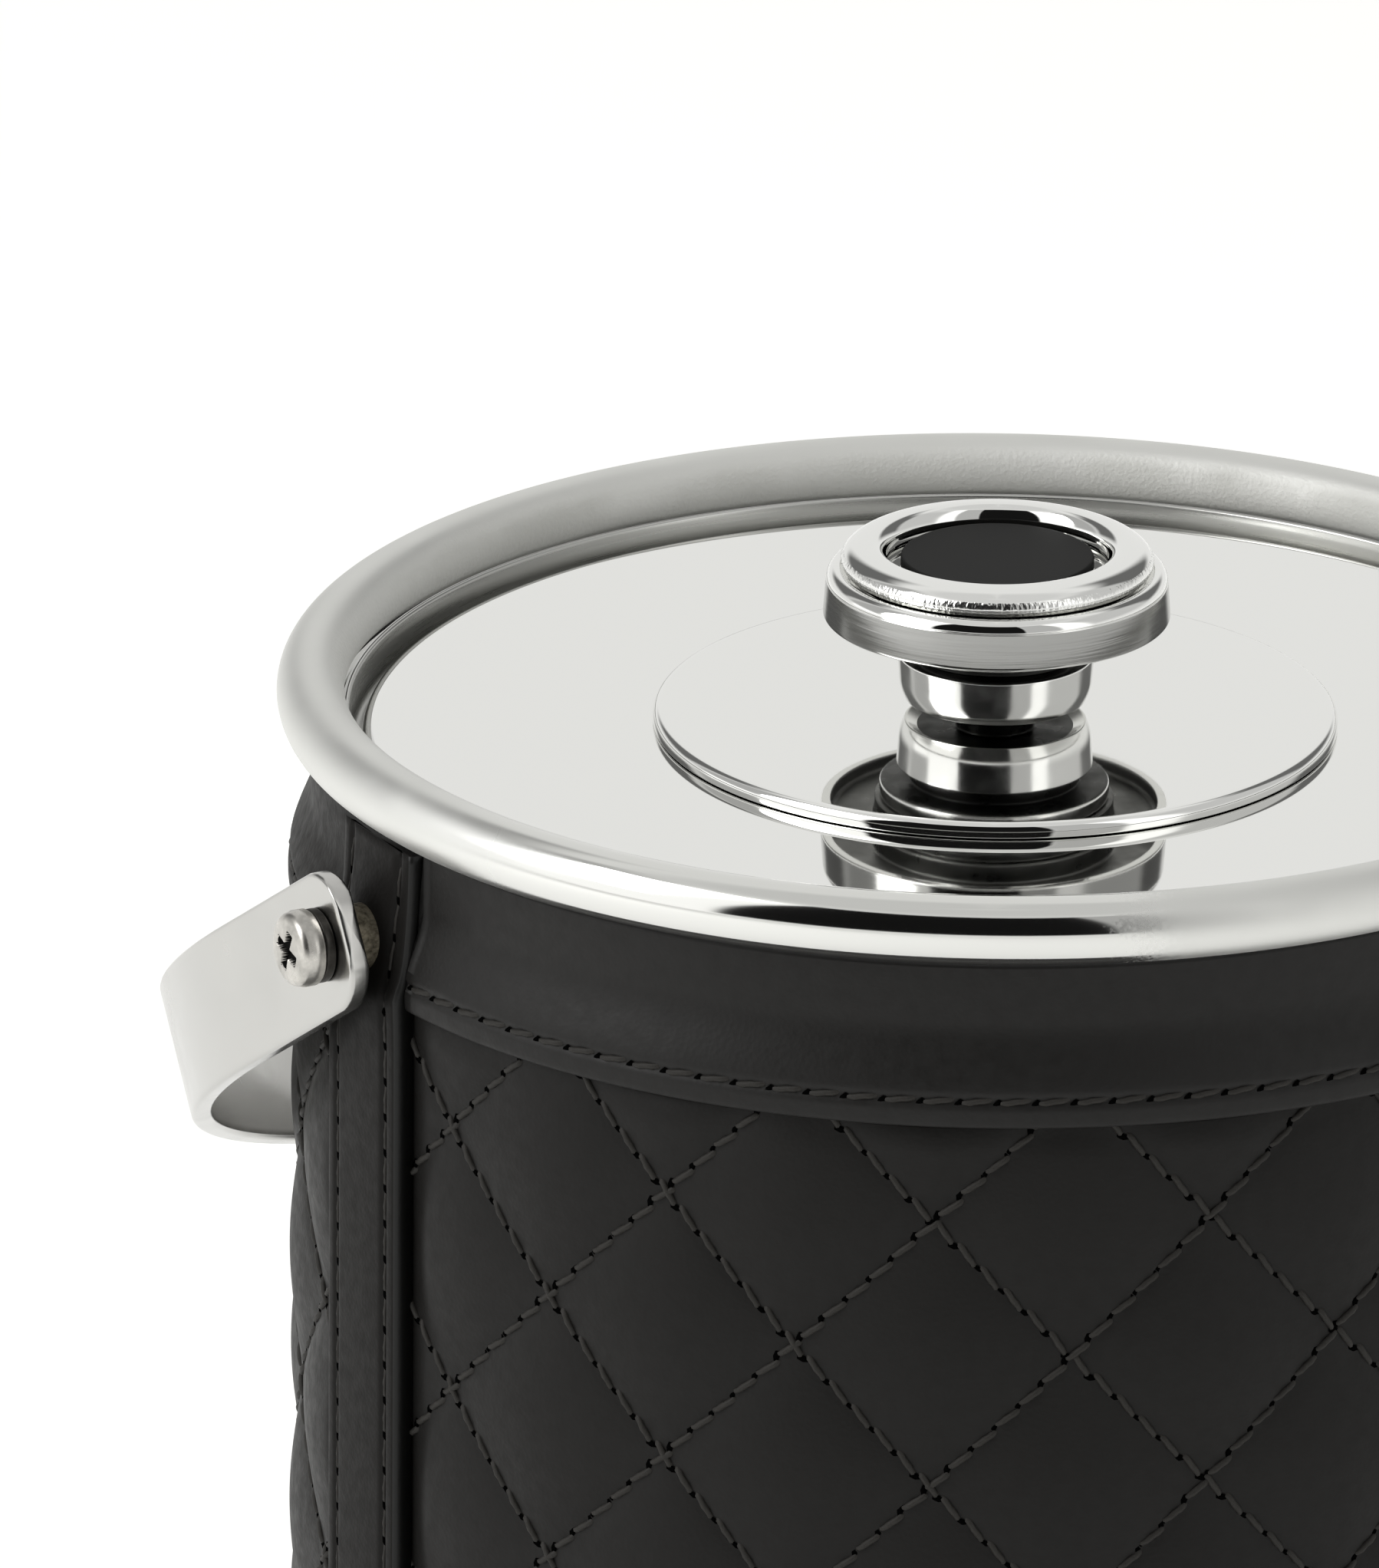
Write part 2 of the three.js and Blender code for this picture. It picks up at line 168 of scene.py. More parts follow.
def chrome_tanned_leather(name, colour, grain_depth, shine):
    """Smooth pigmented leather: a fine pebble grain, faint cloudiness, and a coat whose shine is given."""
    material, tree, shader, place = new_material(name, Roughness=0.5, Specular_IOR_Level=shine)
    tint(tree, shader, noise(tree, place, 24, detail=2), colour, scaled(colour, 1.22))
    tree.links.new(spread_between(tree, noise(tree, place, 1.6), 0.44, 0.56), shader.inputs["Roughness"])
    pebbles = add_node(tree, "ShaderNodeTexVoronoi", {"Vector": place, "Scale": 1 / (0.55 * MM)})
    grain = raise_bumps(tree, shader, pebbles.outputs["Distance"], grain_depth, 0.35)
    raise_bumps(tree, shader, noise(tree, place, 5.5, detail=4), grain_depth * 3, 0.25, under=grain)
    return material


def painted_leather_edge():
    """Edge paint on cut leather: several wiped coats, darker and glossier than the face, slightly uneven."""
    material, tree, shader, place = new_material(
        "Painted leather edge", linear("#0c0c0b"), Roughness=0.42, Specular_IOR_Level=0.3
    )
    raise_bumps(tree, shader, noise(tree, place, 0.9), 0.06, 0.5)
    return material


def bonded_thread(colour):
    """Bonded polyester thread: matt, with fine filament streaks."""
    material, tree, shader, place = new_material(
        "Bonded polyester thread", Roughness=0.62, Specular_IOR_Level=0.25
    )
    streak = noise(tree, place, 0.25, detail=2)
    tint(tree, shader, streak, scaled(colour, 0.6), colour)
    raise_bumps(tree, shader, streak, 0.05, 0.6)
    return material


def needle_hole():
    """The shadow inside a needle hole: black, with no shine."""
    return new_material("Needle hole shadow", linear("#050505"), Roughness=0.9, Specular_IOR_Level=0.0)[0]


def polished_steel(name, colour, rough, haze_mm=14.0):
    """Buffed stainless steel: a mirror with faint haze where the buffing wheel dwelt."""
    material, tree, shader, place = new_material(name, colour, Metallic=1.0)
    haze = spread_between(tree, noise(tree, place, haze_mm, detail=2), rough * 0.7, rough * 1.5)
    tree.links.new(haze, shader.inputs["Roughness"])
    return material


def rim_steel(colour):
    """Rim tube, satin but for a front buffed to a mirror, with grit where its inner side meets the can.

    The buffed part is found by the angle round the bucket, and its right end breaks up into specks.
    """
    material, tree, shader, place = new_material("Part-polished steel rim", colour, Metallic=1.0)
    x, y, _ = add_node(tree, "ShaderNodeSeparateXYZ", {0: place}).outputs
    angle = calculate(tree, "ARCTAN2", x, calculate(tree, "MULTIPLY", y, -1.0))
    specks = noise(tree, place, 0.5, detail=3)
    torn = calculate(tree, "ADD", angle, calculate(tree, "MULTIPLY_ADD", specks, 0.14, -0.07))
    start = spread_between(tree, angle, 0.0, 1.0, np.radians(-84), np.radians(-62))
    end = spread_between(tree, torn, 0.0, 1.0, np.radians(-15), np.radians(-20))
    buffed = calculate(tree, "MULTIPLY", start, end)
    flat = add_node(tree, "ShaderNodeCombineXYZ", {0: x, 1: y}).outputs[0]
    radius = add_node(tree, "ShaderNodeVectorMath", {0: flat}, operation="LENGTH").outputs["Value"]
    inner = spread_between(tree, radius, 0.0, 1.0, (RIM_R - 1.6) * MM, (RIM_R - 3.2) * MM)
    patches = spread_between(tree, noise(tree, place, 14, detail=4), 0.55, 1.0, 0.4, 0.62)
    grit = calculate(tree, "MULTIPLY", inner, patches)
    cloud = spread_between(tree, noise(tree, place, 12, detail=3), 0.44, 0.54)
    satin = add_node(tree, "ShaderNodeMix", {0: grit, 2: cloud, 3: 0.85}).outputs[0]
    rough = add_node(tree, "ShaderNodeMix", {0: buffed, 2: satin, 3: 0.075}).outputs[0]
    tree.links.new(rough, shader.inputs["Roughness"])
    raise_bumps(tree, shader, calculate(tree, "MULTIPLY", specks, grit), 0.12)
    return material


def satin_steel(colour):
    """Strap steel finished on a fine belt: soft reflections, cloudy wear and fine scratches along it."""
    material, tree, shader, place = new_material("Satin belt-finished steel", Metallic=1.0)
    cloud = noise(tree, place, 13, detail=5, roughness=0.6)
    tint(tree, shader, cloud, scaled(colour, 0.8), colour)
    tree.links.new(spread_between(tree, cloud, 0.14, 0.3), shader.inputs["Roughness"])
    scratches = noise(tree, place, 0.3, detail=2, stretch=(14, 14, 1))
    first = raise_bumps(tree, shader, scratches, 0.01, 0.08)
    raise_bumps(tree, shader, noise(tree, place, 14, detail=2), 0.05, 0.3, under=first)
    return material


def chattered_steel(colour):
    """Steel cut by a tool that chattered: a bright line broken into sparks about 0.4 mm apart."""
    material, tree, shader, place = new_material(
        "Chattered turned steel", colour, Metallic=1.0, Roughness=0.18
    )
    raise_bumps(tree, shader, noise(tree, place, 0.4, detail=1, stretch=(1, 1, 4)), 0.12, 0.9)
    return material


def brushed_steel(name, colour, rough):
    """Brushed stainless sheet: fine lines round the bucket, drawn about 0.4 mm apart so that they show."""
    material, tree, shader, place = new_material(name, colour, Metallic=1.0)
    lines = noise(tree, place, 0.4, detail=2, stretch=(40, 40, 1))
    tree.links.new(spread_between(tree, lines, rough * 0.8, rough * 1.2), shader.inputs["Roughness"])
    raise_bumps(tree, shader, lines, 0.015, 0.4)
    return material


def nickel_plate(name, colour, rough, pit_mm, dullest=0.55):
    """Nickel plate over turned steel: cloudy, with small pits that are duller by a share."""
    material, tree, shader, place = new_material(name, Metallic=1.0)
    pits = noise(tree, place, pit_mm, detail=4, roughness=0.6)
    tint(tree, shader, spread_between(tree, pits, 0, 1), scaled(colour, dullest), colour)
    tree.links.new(spread_between(tree, pits, rough * 1.3, rough * 0.8), shader.inputs["Roughness"])
    raise_bumps(tree, shader, pits, 0.08, 0.4)
    return material


def recess_painted_shade():
    """The inside of the screw's cross recess: black painted shade, as the recess lies out of the light."""
    material, tree, shader, place = new_material(
        "Screw recess in painted shade", linear("#0a0a09"), Roughness=0.7, Specular_IOR_Level=0.1
    )
    raise_bumps(tree, shader, noise(tree, place, 0.4), 0.03, 0.4)
    return material


def moulded_black_plastic():
    """Spark-textured black moulding: even, dark and softly matt."""
    material, tree, shader, place = new_material(
        "Moulded black plastic", linear("#0f0f0e"), Roughness=0.6, Specular_IOR_Level=0.15
    )
    raise_bumps(tree, shader, noise(tree, place, 0.25), 0.02, 0.3)
    return material


def insulating_foam():
    """Poured rigid foam: pale, matt, with open cells about a millimetre across."""
    material, tree, shader, place = new_material("Rigid insulating foam", linear("#ece2c2"), Roughness=0.9)
    cells = add_node(tree, "ShaderNodeTexVoronoi", {"Vector": place, "Scale": 1 / (1.1 * MM)})
    raise_bumps(tree, shader, cells.outputs["Distance"], 0.3, 0.7)
    return material


def pressed_felt():
    """Pressed black felt: no shine, with short tangled fibres."""
    material, tree, shader, place = new_material("Pressed felt", Roughness=0.95)
    fibres = noise(tree, place, 0.6, detail=6, roughness=0.7)
    tint(tree, shader, fibres, linear("#121212"), linear("#2c2c2b"))
    raise_bumps(tree, shader, fibres, 0.3, 0.8)
    return material


FINISHES = {}


def make_finishes(colours):
    """Every finish by the short name that the pieces use."""
    leather = tuple(colours.leather)
    FINISHES.update(
        quilted_leather=chrome_tanned_leather("Chrome-tanned leather, quilted", leather, 0.05, 0.15),
        plain_leather=chrome_tanned_leather("Chrome-tanned leather, plain", leather, 0.05, 0.24),
        strap_leather=chrome_tanned_leather("Chrome-tanned leather, strap", leather, 0.05, 0.07),
        leather_edge=painted_leather_edge(),
        thread=bonded_thread(tuple(colours.thread)),
        needle_hole=needle_hole(),
        mirror=polished_steel("Mirror-polished steel", tuple(colours.mirror), 0.035),
        lid_mirror=polished_steel("Mirror-polished lid", tuple(colours.mirror), 0.03, 30.0),
        turned_mirror=polished_steel("Turned and polished steel", tuple(colours.mirror), 0.13, 3.0),
        turned_wall=brushed_steel("Turned steel wall", linear("#a4a4a2"), 0.13),
        # The knob head's underside gets a rougher, darker steel: painted shade
        unpolished=polished_steel("Unpolished steel in painted shade", linear("#6b6b69"), 0.35, 3.0),
        # The knob bowl's post, underside and neck get a dark steel of painted shade
        dark_neck=polished_steel("Steel neck in painted shade", linear("#2b2b2a"), 0.3, 3.0),
        chattered=chattered_steel(tuple(colours.mirror)),
        rim=rim_steel(tuple(colours.rim)),
        satin=satin_steel(tuple(colours.handle)),
        can=brushed_steel("Brushed steel can", linear("#b9b9b6"), 0.3),
        nickel=nickel_plate("Nickel-plated screw", linear("#d2cfc9"), 0.3, 2.5),
        # The washers' dark nickel is painted shade between the screw head and the strap
        dull_nickel=nickel_plate("Nickel washer in painted shade", linear("#454340"), 0.4, 1.5),
        recess=recess_painted_shade(),
        rough_nickel=nickel_plate("Nickel-plated spacer", linear("#98907e"), 0.5, 0.7, 0.2),
        black_plastic=moulded_black_plastic(),
        foam=insulating_foam(),
        felt=pressed_felt(),
    )


# ---------------------------------------------------------------- shapes


def skin(rows, tips=None):
    """Points and faces of closed skins over rows of points, given as (skin, row, point, xyz) in millimetres.

    Each row is a closed loop, joined to the next row by quads. With no tips the last row joins the first, as
    on a ring. With tips, (skin, 2, xyz), the first and last rows each close in a fan to their tip. Faces are
    turned so that the skins' signed volume, the sum of a . (b x c) / 6 over all triangles, is positive.
    """
    count, high, around, _ = rows.shape
    index = np.arange(count * high * around).reshape(count, high, around)
    points = rows.reshape(-1, 3)
    if tips is None:
        low, up = index, np.roll(index, -1, 1)
        fans = np.zeros((0, 3), int)
    else:
        low, up = index[:, :-1], index[:, 1:]
        tip = len(points) + np.arange(2 * count).reshape(count, 2, 1) + np.zeros(around, int)
        points = np.concatenate([points, tips.reshape(-1, 3)])
        first, last = index[:, 0], index[:, -1]
        foot = np.stack([np.roll(first, -1, 1), first, tip[:, 0]], -1)
        top = np.stack([last, np.roll(last, -1, 1), tip[:, 1]], -1)
        fans = np.concatenate([foot, top]).reshape(-1, 3)
    quads = np.stack([low, np.roll(low, -1, 2), np.roll(up, -1, 2), up], -1).reshape(-1, 4)
    a, b, c = points[np.concatenate([quads[:, :3], quads[:, [0, 2, 3]], fans])].transpose(1, 0, 2)
    if np.einsum("ij,ij->i", a, np.cross(b, c)).sum() < 0:
        quads, fans = quads[:, ::-1], fans[:, ::-1]
    return points, quads, fans


def put(name, skins, body, finish, replaces=()):
    """Makes one piece that rides on a body, from skins that take the finishes in turn."""
    points, faces, slots, base = [], [], [], 0
    for number, (places, quads, fans) in enumerate(skins):
        points.append(places)
        faces += (quads + base).tolist() + (fans + base).tolist()
        slots += [number] * (len(quads) + len(fans))
        base += len(places)
    mesh = bpy.data.meshes.new(name)
    mesh.from_pydata((np.concatenate(points) * MM).tolist(), [], faces)
    mesh.polygons.foreach_set("use_smooth", np.full(len(faces), True))
    mesh.polygons.foreach_set("material_index", np.array(slots, np.int32))
    for key in finish:
        mesh.materials.append(FINISHES[key])
    mesh.update()
    piece = bpy.data.objects.new(name, mesh)
    bpy.context.scene.collection.objects.link(piece)
    if replaces:
        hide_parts(*replaces)
    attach(piece, body)
    return piece


def put_turned(name, outline, segments, body, finish, node):
    """Makes a piece of one finish from an outline turned about the upright axis, in place of a CAD node."""
    put(name, [turned(outline, segments)], body, [finish], [node])


def face_centres(piece):
    """x, y and z of each face's centre, in millimetres."""
    centres = np.zeros(len(piece.data.polygons) * 3)
    piece.data.polygons.foreach_get("center", centres)
    return centres.reshape(-1, 3).T / MM


def face_places(piece):
    """Distance from the bucket's axis and height of each face's centre, in millimetres."""
    x, y, z = face_centres(piece)
    return np.hypot(x, y), z


def finish_faces(piece, numbers):
    """Gives each face of a piece the finish with that number in the piece's list."""
    piece.data.polygons.foreach_set("material_index", numbers.astype(np.int32))


def capped(rows):
    """One closed skin over rows of (row, point, xyz), its first and last rows each closed at their middle."""
    return skin(rows[None], rows[[0, -1]].mean(1)[None])


def finish_node(node, finish):
    """Gives a carried-over CAD node its finish."""
    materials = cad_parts[node].data.materials
    materials.clear()
    materials.append(FINISHES[finish])


def rounded(corners, steps=5, hold=0.15):
    """An outline of [radius, height] through corners of (radius, height, fillet).

    Each filleted corner becomes an arc tangent to its two sides: for a corner angle t the arc starts
    fillet / tan(t / 2) from the corner. A point is held a little way along each side, so flats shade flat.
    """
    spots = np.array([c[:2] for c in corners], float)
    outline = []
    for i, (spot, (_, _, fillet)) in enumerate(zip(spots, corners)):
        if fillet == 0:
            outline.append(spot)
            continue
        before, after = spots[i - 1], spots[(i + 1) % len(spots)]
        one = (before - spot) / np.linalg.norm(before - spot)
        two = (after - spot) / np.linalg.norm(after - spot)
        half = np.arccos(np.clip(one @ two, -1, 1)) / 2
        reach = fillet / np.tan(half)
        middle = spot + (one + two) / np.linalg.norm(one + two) * fillet / np.sin(half)
        start, end = spot + one * reach - middle, spot + two * reach - middle
        sweep = np.pi - 2 * half
        share = np.linspace(0, 1, steps + 1)[:, None]
        arc = (np.sin((1 - share) * sweep) * start + np.sin(share * sweep) * end) / np.sin(sweep) + middle
        outline += [arc[0] + one * hold, *arc, arc[-1] + two * hold]
    return np.array(outline)


def ring_outline(bore, outer, low, high, fillets):
    """A ring's four-sided outline, its fillets given from the bore's low corner round by the outer side."""
    corners = ((bore, low), (outer, low), (outer, high), (bore, high))
    return rounded([(*corner, fillet) for corner, fillet in zip(corners, fillets)])


def turned(outline, segments=192, axis="z", centre=(0, 0, 0), side=1.0):
    """An outline of [radius, height] turned about an axis: x = r cos a, y = r sin a, z = height.

    An outline that starts and ends at radius 0 gets a tip at each end, and any other closes on itself.
    With axis "x" the height runs along X, towards side.
    """
    tips = None
    if outline[0][0] == 0:
        ends = outline[[0, -1], 1]
        outline = outline[1:-1]
        tips = np.stack([0 * ends, 0 * ends, ends], -1)[None]
    angle = np.linspace(0, 2 * np.pi, segments, endpoint=False)
    r, z = outline[:, :1], outline[:, 1:]
    rows = np.stack([r * np.cos(angle), r * np.sin(angle), z + 0 * angle], -1)[None]
    if axis == "x":
        def lay(p):
            return np.stack([side * p[..., 2], side * p[..., 0], p[..., 1]], -1)
        rows = lay(rows)
        tips = None if tips is None else lay(tips)
    rows = rows + np.array(centre)
    return skin(rows, None if tips is None else tips + np.array(centre))


def smooth_step(value, low, high):
    """0 below low, 1 above high, and 3t^2 - 2t^3 between them."""
    t = np.clip((value - low) / (high - low), 0, 1)
    return t * t * (3 - 2 * t)


# ---------------------------------------------------------------- leather surfaces

# The lattice: height of one row of crossings, height from row to row, diamonds round, and grid cells per row
ROW_Z = RIM_Z - 32.4
ROW_STEP = 14.95
DIAMONDS_ROUND = 16
CELLS = 24
DIAMOND_ANGLE = 2 * np.pi / DIAMONDS_ROUND
# Radii of the quilting: its inner face, its seams, and how far the middle of a diamond stands above the seams
QUILT_INNER_R = 73.0
SEAM_R = 74.75
PUFF = 1.35
# The bands: radii of the outer edge over the quilting and of the inner face at the can and over the quilting,
# the radius their gap beside the straps is laid out on, and how far the stitches lie from the edge
BAND_LIP_R = 76.15
BAND_CAN_R = 72.4
BAND_QUILT_R = 73.75
BAND_LAY_R = 76.0
BAND_STITCH = 2.95
# The side straps: half width, outer radius over the quilting, the radius their width is laid out on, the
# distance of each line of stitches from the middle, and the thickness
STRAP_HALF = (STRAP_HIGH[1] - STRAP_LOW[1]) / 2
STRAP_R = 77.2
STRAP_LAY_R = 76.5
STRAP_STITCH = 5.4
STRAP_THICKNESS = 2.25


def half_turn(half, angle):
    """Angles from the middle of one half of the bucket as angles from the front."""
    return angle + np.pi if half == "back" else angle


def lattice(angle, z):
    """Where a point at an angle from the front lies across the two families of seams, at whole numbers."""
    u = angle / DIAMOND_ANGLE
    v = (ROW_Z - z) / (2 * ROW_STEP)
    return u + v - 0.5, u - v - 0.5


def quilt_radius(angle, z):
    """Outer radius of the quilted leather, puffed as |sin(pi a) sin(pi b)|^0.72 between the seams.

    It is pressed down under the side straps and along the bands.
    """
    a, b = lattice(angle, z)
    puff = np.abs(np.sin(np.pi * a) * np.sin(np.pi * b)) ** 0.72
    from_strap = SEAM_R * np.arccos(np.clip(np.abs(np.sin(angle)), 0, 1))
    free = smooth_step(from_strap, STRAP_HALF - 0.5, STRAP_HALF + 4.0)
    free = free * smooth_step(np.minimum(z - FOOT_BAND_HIGH[2], TOP_BAND_LOW[2] - z), -1.0, 3.5)
    return SEAM_R + (PUFF * puff) * free


def on_cylinder(angle, r, z):
    """The point at an angle from the front (-Y), turning towards +X."""
    angle, r, z = np.broadcast_arrays(angle, r, z)
    return np.stack([r * np.sin(angle), -r * np.cos(angle), z], -1)


def quilt_skin(half):
    """A quilted panel: an outer face on a grid whose diagonals run along the seams, and a plain inner one."""
    cell = ROW_STEP / CELLS
    low, high = FOOT_BAND_HIGH[2] + 0.3, TOP_BAND_LOW[2] - 0.1
    rows_up = np.arange(np.ceil((low - ROW_Z) / cell), np.floor((high - ROW_Z) / cell) + 1)
    z_out = np.concatenate([[low], ROW_Z + rows_up * cell, [high]])
    gap = 0.15 / SEAM_R
    angle = np.linspace(-np.pi / 2, np.pi / 2, DIAMONDS_ROUND * CELLS + 1)
    angle[0] += gap
    angle[-1] -= gap
    angle = half_turn(half, angle)
    grid_angle, grid_z = np.meshgrid(angle, z_out, indexing="ij")
    outer = on_cylinder(grid_angle, quilt_radius(grid_angle, grid_z), grid_z)
    z_in = np.linspace(high, low, 6)
    grid_angle, grid_z = np.meshgrid(angle, z_in, indexing="ij")
    inner = on_cylinder(grid_angle, QUILT_INNER_R, grid_z)
    return capped(np.concatenate([outer, inner], 1))


def band_radius(rise):
    """Outer radius of a band at a height above its quilt-side edge.

    It lies over the padding at first, dips where the stitches pull it in, and then steps down to the can.
    """
    lip = BAND_LIP_R - 0.35 * np.exp(-rise / 0.25) * (rise < 2)
    groove = 0.4 * np.exp(-(((rise - BAND_STITCH) / 0.55) ** 2))
    step = 2.4 * smooth_step(rise, 2.4, 11.0)
    return lip - groove - step


def band_skin(half, edge, end):
    """A plain leather band: the profile of band_radius carried round half the bucket, from strap to strap."""
    up = np.sign(end - edge)
    reach = abs(end - edge)
    rise = np.concatenate([[0.0, 0.05, 0.12, 0.22, 0.35, 0.5, 0.8], np.arange(1.2, reach, 0.25), [reach]])
    outer = np.stack([band_radius(rise), edge + up * rise], -1)
    inner = np.stack([[BAND_CAN_R, BAND_CAN_R, BAND_QUILT_R], edge + up * np.array([reach, 5.6, 0.0])], -1)
    profile = np.concatenate([outer, inner])
    stop = np.pi / 2 - (STRAP_HALF + 0.08) / BAND_LAY_R
    angle = half_turn(half, np.linspace(-stop, stop, 161))
    return capped(on_cylinder(angle[:, None], profile[None, :, 0], profile[None, :, 1]))


def strap_radius(z, across=0.0):
    """Outer radius of a side strap: it steps in past the bands' edges and dips at its stitches.

    Round the handle's spacer it bulges by 1.5 exp(-(d / 6)^2), d being the distance from the pivot.
    """
    rise = np.maximum(z - TOP_BAND_LOW[2], FOOT_BAND_HIGH[2] - z)
    step = 1.85 * (1 - np.exp(-np.maximum(rise - 1.6, 0) / 2.6))
    groove = 0.38 * np.exp(-(((np.abs(across) - STRAP_STITCH) / 0.5) ** 2))
    bulge = 1.5 * np.exp(-(((z - PIVOT[2]) ** 2 + across**2) / 6.0**2))
    return STRAP_R - step - groove + bulge


def strap_skin(side):
    """A side strap: a flat section with rounded edges carried up the bucket."""
    z = np.linspace(STRAP_LOW[2], STRAP_HIGH[2], 150)
    edge = np.array([0, 0.12, 0.35]) - STRAP_HALF
    across = np.concatenate([edge, np.linspace(-6.9, 6.9, 47), -edge[::-1]])
    drop = np.maximum(0, 0.45 - (STRAP_HALF - np.abs(across))) ** 2 / 0.45
    top = strap_radius(z[:, None], across[None]) - drop
    bottom_across = np.array([STRAP_HALF, STRAP_HALF * 0.4, -STRAP_HALF * 0.4, -STRAP_HALF])
    bottom = strap_radius(z[:, None], STRAP_HALF * 4) - STRAP_THICKNESS + 0 * bottom_across[None]
    r = np.concatenate([top, bottom], 1)
    t = np.concatenate([across, bottom_across])
    return capped(on_cylinder((t / STRAP_LAY_R + side * np.pi / 2)[None], r, z[:, None]))


# ---------------------------------------------------------------- stitches


def stitch_skins(starts, ends, out, thread, sunk=0.0):
    """Threads and needle holes for stitches, given by start, end and outward direction, each (stitch, xyz).

    A stitch arches from hole to hole as thread (0.55 sin(pi s)^0.6 - 0.36), all of it sunk by a depth. Its
    section has two lobes that turn along it, as two plies do: r = thread (0.38 + 0.16 |cos(angle - twist)|).
    Each hole is a flat dark disc at the stitch's start.
    """
    along = ends - starts
    length = np.linalg.norm(along, axis=1, keepdims=True)
    along = along / length
    across = np.cross(out, along)
    share = np.array([0.0, 0.12, 0.3, 0.5, 0.7, 0.88, 1.0])
    turn = np.linspace(0, 2 * np.pi, 8, endpoint=False)
    arch = np.sin(np.pi * share) ** 0.6 * 0.55 - 0.36
    thin = np.where((share == 0) | (share == 1), 0.55, 1.0)
    lobe = thread * (0.38 + 0.16 * np.abs(np.cos(turn[None] - 2.4 * np.pi * share[:, None]))) * thin[:, None]
    middle = starts[:, None] + along[:, None] * (length * share[None])[..., None]
    middle = middle + out[:, None] * (arch * thread - sunk)[None, :, None]
    rows = (
        middle[:, :, None]
        + across[:, None, None] * (lobe * np.cos(turn))[None, ..., None]
        + out[:, None, None] * (lobe * np.sin(turn))[None, ..., None]
    )
    threads = skin(rows, middle[:, [0, -1]])
    ring = np.linspace(0, 2 * np.pi, 6, endpoint=False)
    disc = (
        starts[:, None]
        + (0.6 * along + 0.35 * across)[:, None] * np.cos(ring)[None, :, None]
        + (0.46 * across)[:, None] * np.sin(ring)[None, :, None]
        + 0.13 * out[:, None]
    )
    tips = starts[:, None] + out[:, None] * np.array([-0.3, 0.16])[None, :, None]
    return threads, skin(disc[:, None], tips)


def quilt_stitches(half, pitch, slant, thread):
    """Stitches along every seam of one panel: u + v or u - v a whole number + 1/2, walked by height."""
    low, high = FOOT_BAND_HIGH[2] - 2.5, TOP_BAND_LOW[2] + 2.5
    climb = pitch / np.hypot(SEAM_R * DIAMOND_ANGLE / (2 * ROW_STEP), 1.0)
    rng = np.random.default_rng(7 if half == "front" else 8)
    limit = np.pi / 2 - (STRAP_HALF - 2.5) / SEAM_R
    starts, ends, outs = [], [], []
    for way in (1, -1):
        for number in range(-16, 17):
            z = np.arange(low + rng.uniform(0, climb), high - climb, climb)
            both = np.stack([z, z + climb * 1.02])
            v = (ROW_Z - both) / (2 * ROW_STEP)
            angle = (number + 0.5 - way * v) * DIAMOND_ANGLE
            keep = np.all(np.abs(angle) < limit, axis=0)
            both, angle = both[:, keep], half_turn(half, angle[:, keep])
            radius = quilt_radius(angle, both) + 0.02
            place = on_cylinder(angle, radius, both)
            out = on_cylinder(angle, 1 + 0 * radius, 0 * both)
            heading = place[1] - place[0]
            side = np.cross(out[0], heading)
            side = side / np.linalg.norm(side, axis=1, keepdims=True)
            wobble = rng.normal(0, 0.06, (2, len(side), 1))
            starts.append(place[0] + side * (slant + wobble[0]))
            ends.append(place[1] - side * (slant + wobble[1]))
            outs.append(out[0])
    return stitch_skins(np.concatenate(starts), np.concatenate(ends), np.concatenate(outs), thread)


def band_stitches(half, edge, up, pitch, slant, thread):
    """Stitches round a band, BAND_STITCH in from its edge."""
    z = edge + up * BAND_STITCH
    r = band_radius(BAND_STITCH) + 0.02
    stop = np.pi / 2 - (STRAP_HALF + 0.6) / r
    count = int(2 * stop * r / pitch)
    angle = half_turn(half, np.linspace(-stop, stop, count + 1))
    place = on_cylinder(angle, r + 0 * angle, z + 0 * angle)
    out = on_cylinder(angle, 1 + 0 * angle, 0 * angle)
    rise = np.array([0, 0, slant])
    ends = place[1:] + rise - (place[1:] - place[:-1]) * 0.03
    return stitch_skins(place[:-1] - rise, ends, out[:-1], thread, sunk=0.1)


def strap_stitches(side, pitch, slant, thread):
    """Two lines of stitches up a side strap."""
    count = int((STRAP_HIGH[2] - STRAP_LOW[2] - 3) / pitch)
    z = np.linspace(STRAP_LOW[2] + 1.5, STRAP_HIGH[2] - 1.5, count + 1)
    starts, ends, outs = [], [], []
    for line in (-STRAP_STITCH, STRAP_STITCH):
        angle = line / STRAP_LAY_R + side * np.pi / 2 + 0 * z
        place = on_cylinder(angle, strap_radius(z, line) - 0.02, z)
        out = on_cylinder(angle, 1 + 0 * z, 0 * z)
        aside = np.cross(out, [0, 0, 1]) * slant
        starts.append(place[:-1] + aside[:-1])
        ends.append(place[1:] - aside[1:] - (place[1:] - place[:-1]) * 0.03)
        outs.append(out[:-1])
    return stitch_skins(np.concatenate(starts), np.concatenate(ends), np.concatenate(outs), thread)


# ---------------------------------------------------------------- handle

# The strap handle: section, straight part past the pivot, length and corner radius of its ends, edge radius,
# and how far it leans below level at rest
BAIL_THICKNESS = 2.25
BAIL_WIDTH = 15.2
BAIL_LEG = 23.35
BAIL_END = 6.0
BAIL_CORNER = 5.4
BAIL_EDGE = 0.55
REST_DROP = np.radians(31.8)
# The screws: radius and height of the head, tilt and depth of its cross recess
SCREW_HEAD_R = 4.15
SCREW_HEAD_HEIGHT = 2.9
CROSS_TILT = np.radians(-18)
CROSS_DEPTH = 1.25


